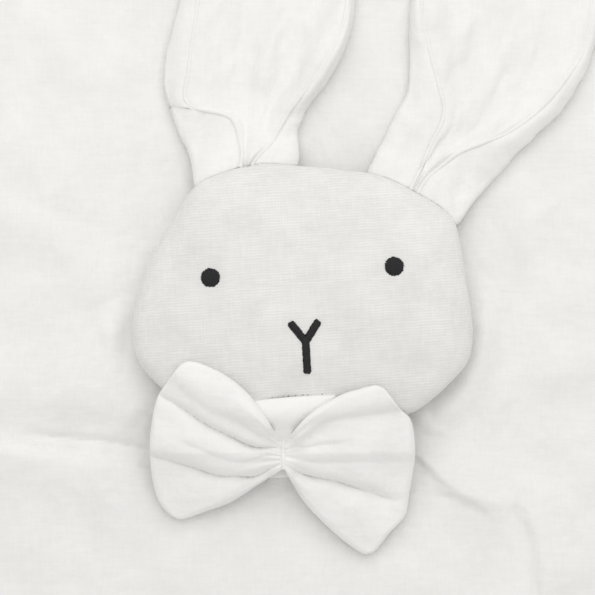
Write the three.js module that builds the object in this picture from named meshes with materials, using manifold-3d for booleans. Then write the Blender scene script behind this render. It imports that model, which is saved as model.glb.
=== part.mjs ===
import * as THREE from 'three'
import { mergeVertices } from 'three/addons/utils/BufferGeometryUtils.js'
import Module from 'manifold-3d'

const wasm = await Module()
wasm.setup()

// A rabbit comforter lying face up on its own spread blanket. Lengths are in millimetres.
// X runs to the right, Y towards the ears, Z up. The origin is on the table under the blanket's middle.

// Cloth and the clearances between neighbours
const clothThickness = 1
const clearance = 0.3
const mergeDistance = 0.0005

// Blanket: two square cloths, of which the upper one carries the folds
const blanketSide = 400
const foldHeight = 4.5
const foldWidth = 9
const blanketCellsAcross = 19
const blanketCellsUp = 26
const middleSpacingShare = 0.42

// Each fold: both ends in shares of half the side, then shares of the fold's height and width
const foldShares = [
  { from: [-0.95, 0.02], to: [-0.27, -0.055], height: 1, width: 1 },
  { from: [0.235, -0.04], to: [0.255, -0.075], height: 0.7, width: 0.6 },
  { from: [0.3, -0.13], to: [0.4, -0.165], height: 0.75, width: 0.85 },
  { from: [0.4, -0.165], to: [0.47, -0.36], height: 0.7, width: 0.9 },
  { from: [0.18, -0.27], to: [0.3, -0.36], height: 0.45, width: 0.8 },
  { from: [-0.12, -0.4], to: [-0.42, -0.95], height: 0.9, width: 1.5 },
  { from: [0.1, -0.45], to: [0.22, -0.97], height: 0.8, width: 1.6 },
  { from: [0.55, -0.1], to: [0.95, -0.22], height: 0.7, width: 1.5 },
]

// Head: a stuffed pillow of a face panel and a back panel, turned a little to the left
const headHalfWidth = 56
const headHeight = 78
const headCentreUp = 34.5
const faceCrown = 13.5
const backDepth = 9.5
const headAcross = 6.7
const headUp = 0.8
const headTilt = THREE.MathUtils.degToRad(3.5)
const faceFullness = 0.75
const backFullness = 0.5
const panelSides = 40
const panelRings = 7

// The seam between the panels: shares of the half width and of the height above the chin seam
const headOutlineShares = [
  [0, -0.115], [0.36, -0.112], [0.59, -0.09], [0.71, -0.041], [0.835, 0.031], [0.94, 0.11],
  [0.98, 0.2], [0.982, 0.31], [0.963, 0.46], [0.94, 0.63], [0.915, 0.71], [0.84, 0.775],
  [0.725, 0.832], [0.58, 0.895], [0.4375, 0.937], [0.29, 0.955], [0.085, 0.98], [-0.21, 1.005],
  [-0.41, 0.983], [-0.6, 0.928], [-0.705, 0.833], [-0.868, 0.662], [-0.945, 0.545],
  [-1.02, 0.355], [-1.0, 0.205], [-0.877, 0.083], [-0.71, -0.02], [-0.54, -0.083], [-0.32, -0.113],
]

// Embroidered face, in the head's own frame
const eyeRadius = 3.1
const eyeHeight = 0.9
const eyeSides = 24
const eyesUp = 41.9
const leftEyeAcross = -30.7
const rightEyeAcross = 30.6
const strokeWidth = 2.1
const strokeHeight = 0.8
const strokeCells = 12
const noseCentre = -0.4
const noseArmReach = 4.6
const noseArmTop = 25.4
const noseForkUp = 18.9
const noseBottom = 8.6

// Neck: the blanket's gathered base under the bow, the stuffed neck on it and the cloth over
// its front, the last two in the head's own frame
const neckBaseUp = -20
const neckBaseRadius = 13
const neckBaseHeight = 2.4
const neckPleats = 12
const pleatDepth = 0.7
const neckBaseSides = 48
const neckAcross = -8.5
const neckHalfWidth = 8.5
const neckSideDrop = 3
const neckEndUp = -27
const neckEndTop = 8.6
const neckPinchUp = -17.5
const neckPinchTop = 11.5
const neckCells = 6
const chinSeamUp = 0.3
const patchHalfWidth = 17
const patchEndHalfWidth = 7
const patchCellsUp = 10
const patchCellsAcross = 10
const patchFaceReach = 1.5

// Bow: its frame has its origin over the pinch on the neck
const bowAcross = -2.3
const bowUp = -17.3
const bowReach = 44
const bowRise = 9.5
const bowFall = 8
const bowPuff = 3.6
const bowUnderPuff = 1.2
const bowFaceReach = 2.5
const creaseWidthShare = 0.1
const creaseDepthShare = 0.8
const wingCellsOut = 10
const wingCellsAcross = 11
const gatherHalfWidth = 1.8
const gatherHeight = 4.2
const gatherTop = 6.2
const gatherBottom = -8.2
const gatherSides = 12
const gatherRings = 6

// Ears: two layers with their sides folded to the front
const earLength = 114
const earHalfWidth = 29
const earFoldRadius = 2.5
const earRootRun = 12
const earTopBelowSeam = 0.6
const earSeatRun = 26
const earSeatGap = 0.7
const rimInset = 1
const flatSteps = 2
const bendSteps = 3
const flapSteps = 1

// Colours measured as seen in plain light
const gauzeWhite = 0xf3f3f1
const faceWhite = 0xe8e7e5
const threadBlack = 0x1b1b1c
const fillingWhite = 0xf6f6f4

const halfSide = blanketSide / 2
const blanketTop = 2 * clothThickness + clearance
const headBottom = blanketTop + clearance
const seamHeight = headBottom + backDepth + clearance / 2
const layerStep = clothThickness + clearance

const mix = THREE.MathUtils.lerp
const smooth = share => THREE.MathUtils.smoothstep(share, 0, 1)

const gauze = new THREE.MeshStandardMaterial({ color: gauzeWhite, roughness: 0.95, metalness: 0 })
const faceCloth = new THREE.MeshStandardMaterial({ color: faceWhite, roughness: 0.9, metalness: 0 })
const thread = new THREE.MeshStandardMaterial({ color: threadBlack, roughness: 0.6, metalness: 0 })
const fibre = new THREE.MeshStandardMaterial({ color: fillingWhite, roughness: 1, metalness: 0 })

// Closed bodies from grids of points

function signedVolume(geometry) {
  const place = geometry.getAttribute('position')
  const index = geometry.index.array
  const [a, b, c] = [new THREE.Vector3(), new THREE.Vector3(), new THREE.Vector3()]
  let volume = 0
  for (let i = 0; i < index.length; i += 3) {
    a.fromBufferAttribute(place, index[i])
    b.fromBufferAttribute(place, index[i + 1])
    c.fromBufferAttribute(place, index[i + 2])
    volume += a.dot(b.cross(c))
  }
  return volume
}

function closedGeometry(corners) {
  const geometry = mergeVertices(new THREE.BufferGeometry().setFromPoints(corners), mergeDistance)
  const index = geometry.index.array
  const kept = []
  for (let i = 0; i < index.length; i += 3) {
    const [a, b, c] = [index[i], index[i + 1], index[i + 2]]
    if (a !== b && b !== c && c !== a) kept.push(a, b, c)
  }
  geometry.setIndex(kept)
  if (signedVolume(geometry) < 0) geometry.setIndex(kept.reverse())
  geometry.computeVertexNormals()
  return geometry
}

function grid(rows, columns, place) {
  const row = i => Array.from({ length: columns + 1 }, (_, j) => place(i / rows, j / columns))
  return Array.from({ length: rows + 1 }, (_, i) => row(i))
}

// The body between two grids of the same size, whose sides are walled unless they go right round
function bodyBetween(front, back, goesRound = false) {
  const rows = front.length - 1
  const columns = front[0].length - 1
  const corners = []
  const addFace = (a, b, c, d) => corners.push(a, b, c, a, c, d)
  for (let i = 0; i < rows; i++) {
    for (let j = 0; j < columns; j++) {
      addFace(front[i][j], front[i + 1][j], front[i + 1][j + 1], front[i][j + 1])
      addFace(back[i][j], back[i][j + 1], back[i + 1][j + 1], back[i + 1][j])
    }
  }
  for (let j = 0; j < columns; j++) {
    addFace(front[0][j], front[0][j + 1], back[0][j + 1], back[0][j])
    addFace(front[rows][j], back[rows][j], back[rows][j + 1], front[rows][j + 1])
  }
  for (let i = 0; i < rows && !goesRound; i++) {
    addFace(front[i][0], back[i][0], back[i + 1][0], front[i + 1][0])
    addFace(front[i][columns], front[i + 1][columns], back[i + 1][columns], back[i][columns])
  }
  return closedGeometry(corners)
}

// The body inside a stack of closed rings, with both ends capped
function bodyInside(rings) {
  const middle = ring => ring.slice(1).reduce((sum, p) => sum.add(p), new THREE.Vector3())
    .divideScalar(ring.length - 1)
  const fan = ring => {
    const hub = middle(ring)
    return ring.map(() => hub)
  }
  const all = [fan(rings[0]), ...rings, fan(rings[rings.length - 1])]
  const corners = []
  for (let i = 0; i + 1 < all.length; i++) {
    for (let j = 0; j + 1 < all[i].length; j++) {
      const [a, b, c, d] = [all[i][j], all[i + 1][j], all[i + 1][j + 1], all[i][j + 1]]
      corners.push(a, b, c, a, c, d)
    }
  }
  return closedGeometry(corners)
}

function named(name, geometry, material) {
  const mesh = new THREE.Mesh(geometry, material)
  mesh.name = name
  return mesh
}

// Blanket

function foldRise(x, y) {
  let rise = 0
  for (const fold of foldShares) {
    const start = new THREE.Vector2(...fold.from).multiplyScalar(halfSide)
    const run = new THREE.Vector2(...fold.to).multiplyScalar(halfSide).sub(start)
    const along = new THREE.Vector2(x, y).sub(start).dot(run) / run.lengthSq()
    const nearest = start.addScaledVector(run, THREE.MathUtils.clamp(along, 0, 1))
    const away = nearest.distanceTo(new THREE.Vector2(x, y)) / (fold.width * foldWidth)
    rise = Math.max(rise, fold.height * foldHeight * Math.exp(-away * away))
  }
  return rise
}

// A grid line from edge to edge, with the lines closer together in the middle
function blanketLine(share) {
  const side = 2 * share - 1
  return halfSide * mix(side ** 3, side, middleSpacingShare)
}

function upperCloth() {
  const faceAt = bottom => grid(blanketCellsUp, blanketCellsAcross, (up, across) => {
    const [x, y] = [blanketLine(across), blanketLine(up)]
    return new THREE.Vector3(x, y, bottom + foldRise(x, y))
  })
  return bodyBetween(faceAt(blanketTop), faceAt(layerStep))
}

function lowerCloth() {
  const cloth = new THREE.BoxGeometry(blanketSide, blanketSide, clothThickness)
  return cloth.translate(0, 0, clothThickness / 2)
}

// Head

const outlineStepsPerPoint = 12
const outlineCurve = new THREE.CatmullRomCurve3(
  headOutlineShares.map(([across, up]) =>
    new THREE.Vector3(across * headHalfWidth, up * headHeight, 0)),
  true, 'centripetal')
const outlinePoints = outlineCurve.getPoints(outlineStepsPerPoint * headOutlineShares.length)
const outlineRays = outlinePoints.slice(1).map(p => ({
  turn: Math.atan2(p.y - headCentreUp, p.x),
  radius: Math.hypot(p.y - headCentreUp, p.x),
})).sort((a, b) => a.turn - b.turn)

// How far the seam lies from the head's centre in a direction
function outlineRadius(turn) {
  const wrapped = Math.atan2(Math.sin(turn), Math.cos(turn))
  const found = outlineRays.findIndex(ray => ray.turn >= wrapped)
  const after = outlineRays[Math.max(found, 0)]
  const before = outlineRays[(Math.max(found, 0) || outlineRays.length) - 1]
  if (found < 1) return after.radius
  return mix(before.radius, after.radius, (wrapped - before.turn) / (after.turn - before.turn))
}

// Height of the face at a place in the head's frame, or of the blanket beside it
function faceHeight(x, y) {
  const up = y - headCentreUp
  const share = Math.hypot(x, up) / outlineRadius(Math.atan2(up, x))
  if (share > 1) return blanketTop
  return seamHeight + faceCrown * (1 - share ** 2) ** (faceFullness / 2)
}

// The highest that the face comes within a reach of a place
function faceHeightNear(x, y, reach) {
  const directions = 8
  let height = faceHeight(x, y)
  for (let i = 0; i < directions; i++) {
    const turn = 2 * Math.PI * i / directions
    height = Math.max(height, faceHeight(x + reach * Math.cos(turn), y + reach * Math.sin(turn)))
  }
  return height
}

// A ring of the head's skin, from its middle at slope 0 to the seam at slope 1
function headRing(slope, inset, rise, fullness) {
  const tilt = slope * Math.PI / 2
  const share = Math.sin(tilt)
  const height = Math.abs(Math.cos(tilt)) ** fullness
  return Array.from({ length: panelSides + 1 }, (_, j) => {
    const turn = 2 * Math.PI * (j % panelSides) / panelSides
    const radius = share * (outlineRadius(turn) - inset)
    const [x, y] = [radius * Math.cos(turn), radius * Math.sin(turn)]
    return new THREE.Vector3(x, headCentreUp + y, seamHeight + rise * (slope < 1 ? height : 0))
  })
}

function headRings(inset, rise, fullness) {
  const slopes = Array.from({ length: panelRings + 1 }, (_, i) => i / panelRings)
  return slopes.map(slope => headRing(slope, inset, rise, fullness))
}

function headPanel(rise, fullness, side) {
  const outer = headRings(0, rise, fullness)
  const inner = headRings(clothThickness, rise - side * clothThickness, fullness)
  const panel = bodyBetween(outer, inner, true)
  return panel.translate(0, 0, side * clearance / 2)
}

function headFilling() {
  const inset = clothThickness + clearance
  const front = headRings(inset, faceCrown - inset, faceFullness)
  const back = headRings(inset, inset - backDepth, backFullness)
  return bodyInside([...front.slice(1), ...back.slice(1, -1).reverse()])
}

function eye(x, y) {
  const profileShares = [[0, 0], [0.94, 0], [1, 0.3], [0.86, 0.72], [0.5, 0.95], [0, 1]]
  const profile = profileShares.map(([out, up]) =>
    new THREE.Vector2(out * eyeRadius, up * eyeHeight))
  const lens = new THREE.LatheGeometry(profile, eyeSides).rotateX(Math.PI / 2)
  const reach = eyeRadius
  const across = new THREE.Vector3(2 * reach, 0, faceHeight(x + reach, y) - faceHeight(x - reach, y))
  const up = new THREE.Vector3(0, 2 * reach, faceHeight(x, y + reach) - faceHeight(x, y - reach))
  const out = across.cross(up).normalize()
  const lean = new THREE.Quaternion().setFromUnitVectors(new THREE.Vector3(0, 0, 1), out)
  lens.applyQuaternion(lean)
  const foot = new THREE.Vector3(x, y, faceHeight(x, y)).addScaledVector(out, clearance + eyeHeight / 4)
  return lens.translate(foot.x, foot.y, foot.z)
}

// A raised stroke of stitches along a curve on the face, with rounded ends
function stroke(points) {
  const path = new THREE.CatmullRomCurve3(points.map(([x, y]) => new THREE.Vector3(x, y, 0)))
  const endSharpness = 8
  const narrowestShare = 0.45
  const faceAt = lift => grid(strokeCells, 2, (along, across) => {
    const place = path.getPointAt(along)
    const run = path.getTangentAt(along)
    const rounding = Math.sqrt(1 - Math.abs(2 * along - 1) ** endSharpness)
    const half = Math.max(rounding, narrowestShare) * strokeWidth / 2
    const [x, y] = [place.x - run.y * half * (2 * across - 1), place.y + run.x * half * (2 * across - 1)]
    return new THREE.Vector3(x, y, faceHeight(x, y) + lift)
  })
  return bodyBetween(faceAt(2 * clearance + strokeHeight), faceAt(2 * clearance))
}

function toSolid(geometry) {
  const vertProperties = new Float32Array(geometry.getAttribute('position').array)
  const triVerts = new Uint32Array(geometry.index.array)
  return new wasm.Manifold(new wasm.Mesh({ numProp: 3, vertProperties, triVerts }))
}

function toGeometry(solid) {
  const mesh = solid.getMesh()
  const geometry = new THREE.BufferGeometry()
  geometry.setAttribute('position', new THREE.BufferAttribute(mesh.vertProperties, 3))
  geometry.setIndex(new THREE.BufferAttribute(mesh.triVerts, 1))
  geometry.computeVertexNormals()
  return geometry
}

function noseAndMouth() {
  const fork = [noseCentre, noseForkUp]
  const long = stroke([[noseCentre - noseArmReach, noseArmTop], fork, [noseCentre, noseBottom]])
  const short = stroke([[noseCentre + noseArmReach, noseArmTop], fork])
  return toGeometry(toSolid(long).add(toSolid(short)))
}

function makeHead() {
  const head = new THREE.Group()
  head.position.set(headAcross, headUp, 0)
  head.rotation.z = headTilt
  head.add(
    named('face_panel', headPanel(faceCrown, faceFullness, 1), faceCloth),
    named('head_back_panel', headPanel(-backDepth, backFullness, -1), gauze),
    named('head_filling', headFilling(), fibre),
    named('left_eye', eye(leftEyeAcross, eyesUp), thread),
    named('right_eye', eye(rightEyeAcross, eyesUp), thread),
    named('nose_mouth', noseAndMouth(), thread),
  )
  return head
}

// Neck

// Top of the neck in the head's frame, from its end on the blanket up to the chin seam
function neckHeight(x, y) {
  const chinTop = faceHeight(neckAcross, chinSeamUp)
  const above = (y - neckPinchUp) / (chinSeamUp - neckPinchUp)
  const below = (y - neckEndUp) / (neckPinchUp - neckEndUp)
  const middle = above > 0 ? mix(neckPinchTop, chinTop, above) : mix(neckEndTop, neckPinchTop, below)
  return middle - neckSideDrop * ((x - neckAcross) / neckHalfWidth) ** 2
}

function neckBase() {
  const ringAt = (radius, height) => Array.from({ length: neckBaseSides + 1 }, (_, j) => {
    const turn = 2 * Math.PI * (j % neckBaseSides) / neckBaseSides
    const pleated = radius + pleatDepth * Math.cos(neckPleats * turn) * radius / neckBaseRadius
    return new THREE.Vector3(pleated * Math.cos(turn), pleated * Math.sin(turn), height)
  })
  const foot = blanketTop + clearance
  return bodyInside([
    ringAt(neckBaseRadius, foot),
    ringAt(neckBaseRadius, foot + clothThickness / 2),
    ringAt(neckBaseRadius - neckBaseHeight, foot + neckBaseHeight),
  ])
}

function neckCore() {
  const foot = blanketTop + neckBaseHeight + 2 * clearance
  const headEdge = headCentreUp - outlineRadius(Math.atan2(-headCentreUp, neckAcross)) - clearance
  const ringAt = y => {
    const xs = Array.from({ length: neckCells + 1 }, (_, i) =>
      neckAcross + neckHalfWidth * (2 * i / neckCells - 1))
    const top = xs.map(x => new THREE.Vector3(x, y, neckHeight(x, y)))
    const bottom = xs.reverse().map(x => new THREE.Vector3(x, y, foot))
    return [...top, ...bottom, top[0]]
  }
  const ys = Array.from({ length: neckCells + 1 }, (_, i) => mix(neckEndUp, headEdge, i / neckCells))
  return bodyInside(ys.map(ringAt))
}

// What the neck's front cloth lies on: the neck, and the chin with room for its roundness
function underPatch(x, y) {
  return Math.max(neckHeight(x, y), faceHeightNear(x, y, patchFaceReach) + clearance)
}

// The cloth from the chin seam down over the neck and under the bow
function neckFront() {
  const faceAt = lift => grid(patchCellsUp, patchCellsAcross, (up, across) => {
    const y = mix(neckEndUp + clothThickness, chinSeamUp, up)
    const x = neckAcross + mix(patchEndHalfWidth, patchHalfWidth, up) * (2 * across - 1)
    return new THREE.Vector3(x, y, underPatch(x, y) + lift)
  })
  return bodyBetween(faceAt(clearance + clothThickness), faceAt(clearance))
}

// Bow

// A place in the bow's frame, as seen from the head's frame
function fromBowToHead(x, y) {
  const away = new THREE.Vector2(x + bowAcross - headAcross, y + bowUp - headUp)
  return away.rotateAround(new THREE.Vector2(), -headTilt)
}

// Height of what lies under the bow: the neck's front cloth, or the face
function underBow(x, y) {
  const place = fromBowToHead(x, y)
  const face = faceHeightNear(place.x, place.y, bowFaceReach)
  const up = THREE.MathUtils.clamp((place.y - neckEndUp) / (chinSeamUp - neckEndUp), 0, 1)
  const patchEdge = mix(patchEndHalfWidth, patchHalfWidth, up)
  const beyond = (Math.abs(place.x - neckAcross) - patchEdge) / bowFaceReach - 1
  const beyondTop = (place.y - chinSeamUp) / bowFaceReach - 1
  const patch = (clearance + clothThickness) * (1 - smooth(Math.max(beyond, beyondTop)))
  return Math.max(face, underPatch(place.x, place.y)) + patch
}

// Height midway between the front and back cloth of the bow
function bowMiddle(x, y) {
  const pinch = neckPinchTop + 2 * clearance + clothThickness + gatherHeight / 2
  const slant = pinch + (y > 0 ? bowRise : bowFall) * y / bowReach
  return Math.max(slant, underBow(x, y) + clothThickness + 1.5 * clearance)
}

const bowWings = [
  {
    side: 'left',
    topShares: [[-0.05, 0.14], [-0.145, 0.3], [-0.25, 0.44], [-0.37, 0.55], [-0.545, 0.65],
      [-0.705, 0.695], [-0.835, 0.59]],
    outerShares: [[-0.795, -0.52], [-0.93, -0.41], [-0.985, -0.26], [-1.01, -0.045], [-1, 0.17],
      [-0.95, 0.41], [-0.835, 0.59]],
    bottomShares: [[-0.05, -0.18], [-0.22, -0.27], [-0.4, -0.386], [-0.585, -0.455], [-0.795, -0.52]],
    creaseShares: [{ root: 0.3, rim: 0.34 }, { root: 0.6, rim: 0.84 }],
  },
  {
    side: 'right',
    topShares: [[0.05, 0.16], [0.2, 0.3], [0.43, 0.44], [0.58, 0.49], [0.734, 0.507]],
    outerShares: [[0.627, -0.78], [0.81, -0.62], [0.93, -0.486], [0.96, -0.32], [0.99, -0.136],
      [1, 0.045], [0.96, 0.257], [0.886, 0.33], [0.734, 0.507]],
    bottomShares: [[0.05, -0.19], [0.143, -0.36], [0.28, -0.516], [0.445, -0.668], [0.627, -0.78]],
    creaseShares: [{ root: 0.34, rim: 0.24 }, { root: 0.62, rim: 0.72 }],
  },
]

function edgeCurve(shares) {
  return new THREE.CatmullRomCurve3(shares.map(([x, y]) => new THREE.Vector3(x, y, 0)
    .multiplyScalar(bowReach)))
}

// A wing's place in plan, filled in between its four edges
function wingPlan(wing) {
  const top = edgeCurve(wing.topShares)
  const bottom = edgeCurve(wing.bottomShares)
  const outer = edgeCurve(wing.outerShares)
  return (out, up) => {
    const [t, b, o] = [top.getPointAt(out), bottom.getPointAt(out), outer.getPointAt(up)]
    const root = bottom.getPointAt(0).lerp(top.getPointAt(0), up)
    const slant = root.clone().lerp(bottom.getPointAt(1).lerp(top.getPointAt(1), up), out)
    return b.lerp(t, up).add(root.lerp(o, out)).sub(slant)
  }
}

function wingBulge(wing, out, up) {
  const fullness = 0.6
  const rootShare = 0.3
  const body = Math.sin(Math.PI * up) ** fullness * smooth(out / rootShare) * smooth((1 - out) / rootShare)
  let crease = 0
  for (const { root, rim } of wing.creaseShares) {
    const away = (up - mix(root, rim, out)) / creaseWidthShare
    crease = Math.max(crease, Math.exp(-away * away))
  }
  return { body, front: body * (1 - creaseDepthShare * crease) }
}

function wingCloth(wing, isFront) {
  const plan = wingPlan(wing)
  const faceAt = lift => grid(wingCellsOut, wingCellsAcross, (out, up) => {
    const place = plan(out, up)
    const bulge = wingBulge(wing, out, up)
    const middle = bowMiddle(place.x, place.y)
    const lowest = underBow(place.x, place.y) + clearance + clothThickness
    const z = isFront
      ? middle + clearance / 2 + bowPuff * bulge.front
      : Math.max(middle - clearance / 2 - bowUnderPuff * bulge.body, lowest)
    return place.setZ(z + lift)
  })
  return isFront
    ? bodyBetween(faceAt(clothThickness), faceAt(0))
    : bodyBetween(faceAt(0), faceAt(-clothThickness))
}

function bowGather() {
  const endShare = 0.3
  const rings = Array.from({ length: gatherRings + 1 }, (_, i) => {
    const along = i / gatherRings
    const y = mix(gatherBottom, gatherTop, along)
    const fullness = Math.sqrt(1 - (2 * along - 1) ** 2 * (1 - endShare))
    const middle = underBow(0, y) + clearance + gatherHeight / 2
    return Array.from({ length: gatherSides + 1 }, (_, j) => {
      const turn = 2 * Math.PI * (j % gatherSides) / gatherSides
      return new THREE.Vector3(gatherHalfWidth * fullness * Math.cos(turn), y,
        middle + gatherHeight / 2 * fullness * Math.sin(turn))
    })
  })
  return bodyInside(rings)
}

// Ears, each in a frame at its root, with its length along Y

// The root's middle in shares of the head's half width and height, then rows from root to tip:
// the share of the length, both edges and flaps in shares of the half width
const ears = [
  {
    side: 'left', rootShares: [-0.304, 0.999], lean: THREE.MathUtils.degToRad(10.5),
    rowShares: [
      { forward: 0, edges: [0.58, 0.6], flaps: [0.46, 0.47] },
      { forward: 0.06, edges: [0.61, 0.64], flaps: [0.5, 0.48] },
      { forward: 0.13, edges: [0.7, 0.7], flaps: [0.4, 0.4] },
      { forward: 0.2, edges: [0.86, 0.78], flaps: [0.26, 0.36] },
      { forward: 0.28, edges: [1.05, 0.87], flaps: [0.12, 0.33] },
      { forward: 0.38, edges: [1.03, 0.95], flaps: [0.1, 0.26] },
      { forward: 0.5, edges: [1, 1], flaps: [0.1, 0.16] },
      { forward: 0.64, edges: [0.97, 0.98], flaps: [0.08, 0.1] },
      { forward: 0.78, edges: [0.84, 0.85], flaps: [0.06, 0.07] },
      { forward: 0.89, edges: [0.62, 0.62], flaps: [0.04, 0.04] },
      { forward: 0.96, edges: [0.38, 0.38], flaps: [0.02, 0.02] },
      { forward: 1, edges: [0.16, 0.16], flaps: [0.01, 0.01] },
    ],
  },
  {
    side: 'right', rootShares: [0.689, 0.854], lean: THREE.MathUtils.degToRad(27.5),
    rowShares: [
      { forward: 0, edges: [0.58, 0.58], flaps: [0.46, 0.46] },
      { forward: 0.06, edges: [0.58, 0.64], flaps: [0.46, 0.5] },
      { forward: 0.13, edges: [0.57, 0.74], flaps: [0.46, 0.48] },
      { forward: 0.2, edges: [0.56, 0.86], flaps: [0.46, 0.4] },
      { forward: 0.28, edges: [0.57, 0.96], flaps: [0.4, 0.3] },
      { forward: 0.38, edges: [0.7, 1.08], flaps: [0.28, 0.17] },
      { forward: 0.5, edges: [0.92, 1.17], flaps: [0.14, 0.15] },
      { forward: 0.64, edges: [0.95, 1.12], flaps: [0.1, 0.1] },
      { forward: 0.78, edges: [0.84, 0.94], flaps: [0.06, 0.07] },
      { forward: 0.89, edges: [0.62, 0.68], flaps: [0.04, 0.04] },
      { forward: 0.96, edges: [0.38, 0.42], flaps: [0.02, 0.02] },
      { forward: 1, edges: [0.16, 0.2], flaps: [0.01, 0.01] },
    ],
  },
]

// The sides turn right over at the root and less towards the tip
const rootBend = THREE.MathUtils.degToRad(176)
const tipBend = THREE.MathUtils.degToRad(40)

// Half a cross-section outwards from the ear's middle: flat, round the bend and back along the flap
function halfSection(edge, flap, bend, inset) {
  const radius = earFoldRadius - inset
  const turnAt = edge - earFoldRadius
  const points = []
  for (let i = 1; i <= flatSteps; i++) points.push([turnAt * i / flatSteps, inset])
  for (let i = 1; i <= bendSteps; i++) {
    const turn = bend * i / bendSteps
    points.push([turnAt + radius * Math.sin(turn), earFoldRadius - radius * Math.cos(turn)])
  }
  const [x, z] = points[points.length - 1]
  for (let i = 1; i <= flapSteps; i++) {
    const run = flap * i / flapSteps
    points.push([x + run * Math.cos(bend), z + run * Math.sin(bend)])
  }
  return points
}

function rootOf(ear) {
  const [across, up] = ear.rootShares
  return new THREE.Vector2(across * headHalfWidth, up * headHeight)
}

// The head's seam in an ear's frame
function seamSeenFrom(ear) {
  const root = rootOf(ear)
  return outlinePoints.map(p => new THREE.Vector2(p.x, p.y).sub(root)
    .rotateAround(new THREE.Vector2(), ear.lean))
}

// How far the seam lies ahead of the root's middle, at a distance to its side
function seamAhead(seam, aside) {
  let ahead = -earLength
  for (let i = 1; i < seam.length; i++) {
    const [a, b] = [seam[i - 1], seam[i]]
    const share = (aside - a.x) / (b.x - a.x)
    if (share >= 0 && share <= 1) ahead = Math.max(ahead, mix(a.y, b.y, share))
  }
  return ahead
}

function earGrid(ear, inset, trim) {
  const seam = seamSeenFrom(ear)
  const rootRise = seamHeight - earTopBelowSeam - 2 * earFoldRadius - headBottom - clothThickness
  return ear.rowShares.map(({ forward, edges, flaps }) => {
    const bend = mix(rootBend, tipBend, forward ** 2)
    const sides = edges.map((edge, k) => halfSection(edge * earHalfWidth,
      Math.max(flaps[k] * earHalfWidth - trim, mergeDistance * 2), bend, inset))
    const ahead = forward * earLength
    const base = headBottom + clothThickness / 2 + rootRise * (1 - smooth(ahead / earRootRun))
    const across = [...sides[0].map(([x, z]) => [-x, z]).reverse(), [0, inset], ...sides[1]]
    const seatShare = 1 - smooth(ahead / earSeatRun)
    return across.map(([x, z]) => {
      const seat = (seamAhead(seam, x) + earSeatGap) * seatShare
      return new THREE.Vector3(x, ahead + seat, base + z)
    })
  })
}

function makeEar(ear) {
  const half = clothThickness / 2
  const layer = (inset, trim) =>
    bodyBetween(earGrid(ear, inset - half, trim), earGrid(ear, inset + half, trim))
  const root = rootOf(ear)
  const group = new THREE.Group()
  group.position.set(root.x, root.y, 0)
  group.rotation.z = -ear.lean
  group.add(
    named(`${ear.side}_ear_outer`, layer(0, 0), gauze),
    named(`${ear.side}_ear_lining`, layer(layerStep, rimInset), gauze),
  )
  return group
}

function makeBow() {
  const bow = new THREE.Group()
  bow.position.set(bowAcross, bowUp, 0)
  bow.add(named('bow_gather', bowGather(), gauze))
  for (const wing of bowWings) {
    bow.add(named(`bow_${wing.side}_front`, wingCloth(wing, true), gauze))
    bow.add(named(`bow_${wing.side}_back`, wingCloth(wing, false), gauze))
  }
  return bow
}

function makeBlanket() {
  const blanket = new THREE.Group()
  blanket.add(
    named('blanket_upper_cloth', upperCloth(), gauze),
    named('blanket_lower_cloth', lowerCloth(), gauze),
  )
  return blanket
}

function makeNeckBase() {
  const base = named('neck_base', neckBase(), gauze)
  base.position.set(bowAcross, neckBaseUp, 0)
  return base
}

const head = makeHead()
head.add(named('neck', neckCore(), gauze), named('neck_front_cloth', neckFront(), gauze))
head.add(...ears.map(makeEar))

const lovey = new THREE.Group()
lovey.add(makeBlanket(), makeNeckBase(), head, makeBow())

export default lovey
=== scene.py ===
import math

import bmesh
import bpy
import numpy as np
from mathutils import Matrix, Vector
from mathutils.bvhtree import BVHTree


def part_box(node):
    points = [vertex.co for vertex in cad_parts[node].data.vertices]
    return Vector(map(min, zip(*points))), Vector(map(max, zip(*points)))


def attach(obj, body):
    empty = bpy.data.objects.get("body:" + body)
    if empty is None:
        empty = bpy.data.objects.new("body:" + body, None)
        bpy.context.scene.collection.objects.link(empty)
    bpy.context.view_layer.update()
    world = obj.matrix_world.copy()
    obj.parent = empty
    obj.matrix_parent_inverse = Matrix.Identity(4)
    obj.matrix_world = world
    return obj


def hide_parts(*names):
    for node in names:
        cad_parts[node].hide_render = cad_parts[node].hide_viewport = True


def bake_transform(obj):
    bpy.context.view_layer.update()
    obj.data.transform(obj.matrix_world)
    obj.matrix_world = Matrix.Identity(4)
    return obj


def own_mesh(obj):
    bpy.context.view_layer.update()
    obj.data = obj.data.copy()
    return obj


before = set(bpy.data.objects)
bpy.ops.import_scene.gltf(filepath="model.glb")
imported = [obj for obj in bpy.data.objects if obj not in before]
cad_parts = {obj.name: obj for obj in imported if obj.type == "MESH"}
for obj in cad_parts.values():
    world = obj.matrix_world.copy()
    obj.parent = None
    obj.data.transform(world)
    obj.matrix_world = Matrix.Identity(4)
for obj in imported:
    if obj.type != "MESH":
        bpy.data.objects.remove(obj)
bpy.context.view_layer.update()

# A rabbit comforter lying face up on its own spread blanket. Lengths are in metres.
MM = 0.001

# Cloth
CLOTH = 0.9 * MM
GAP = 0.1 * MM
LINE_STEPS = 40

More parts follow.
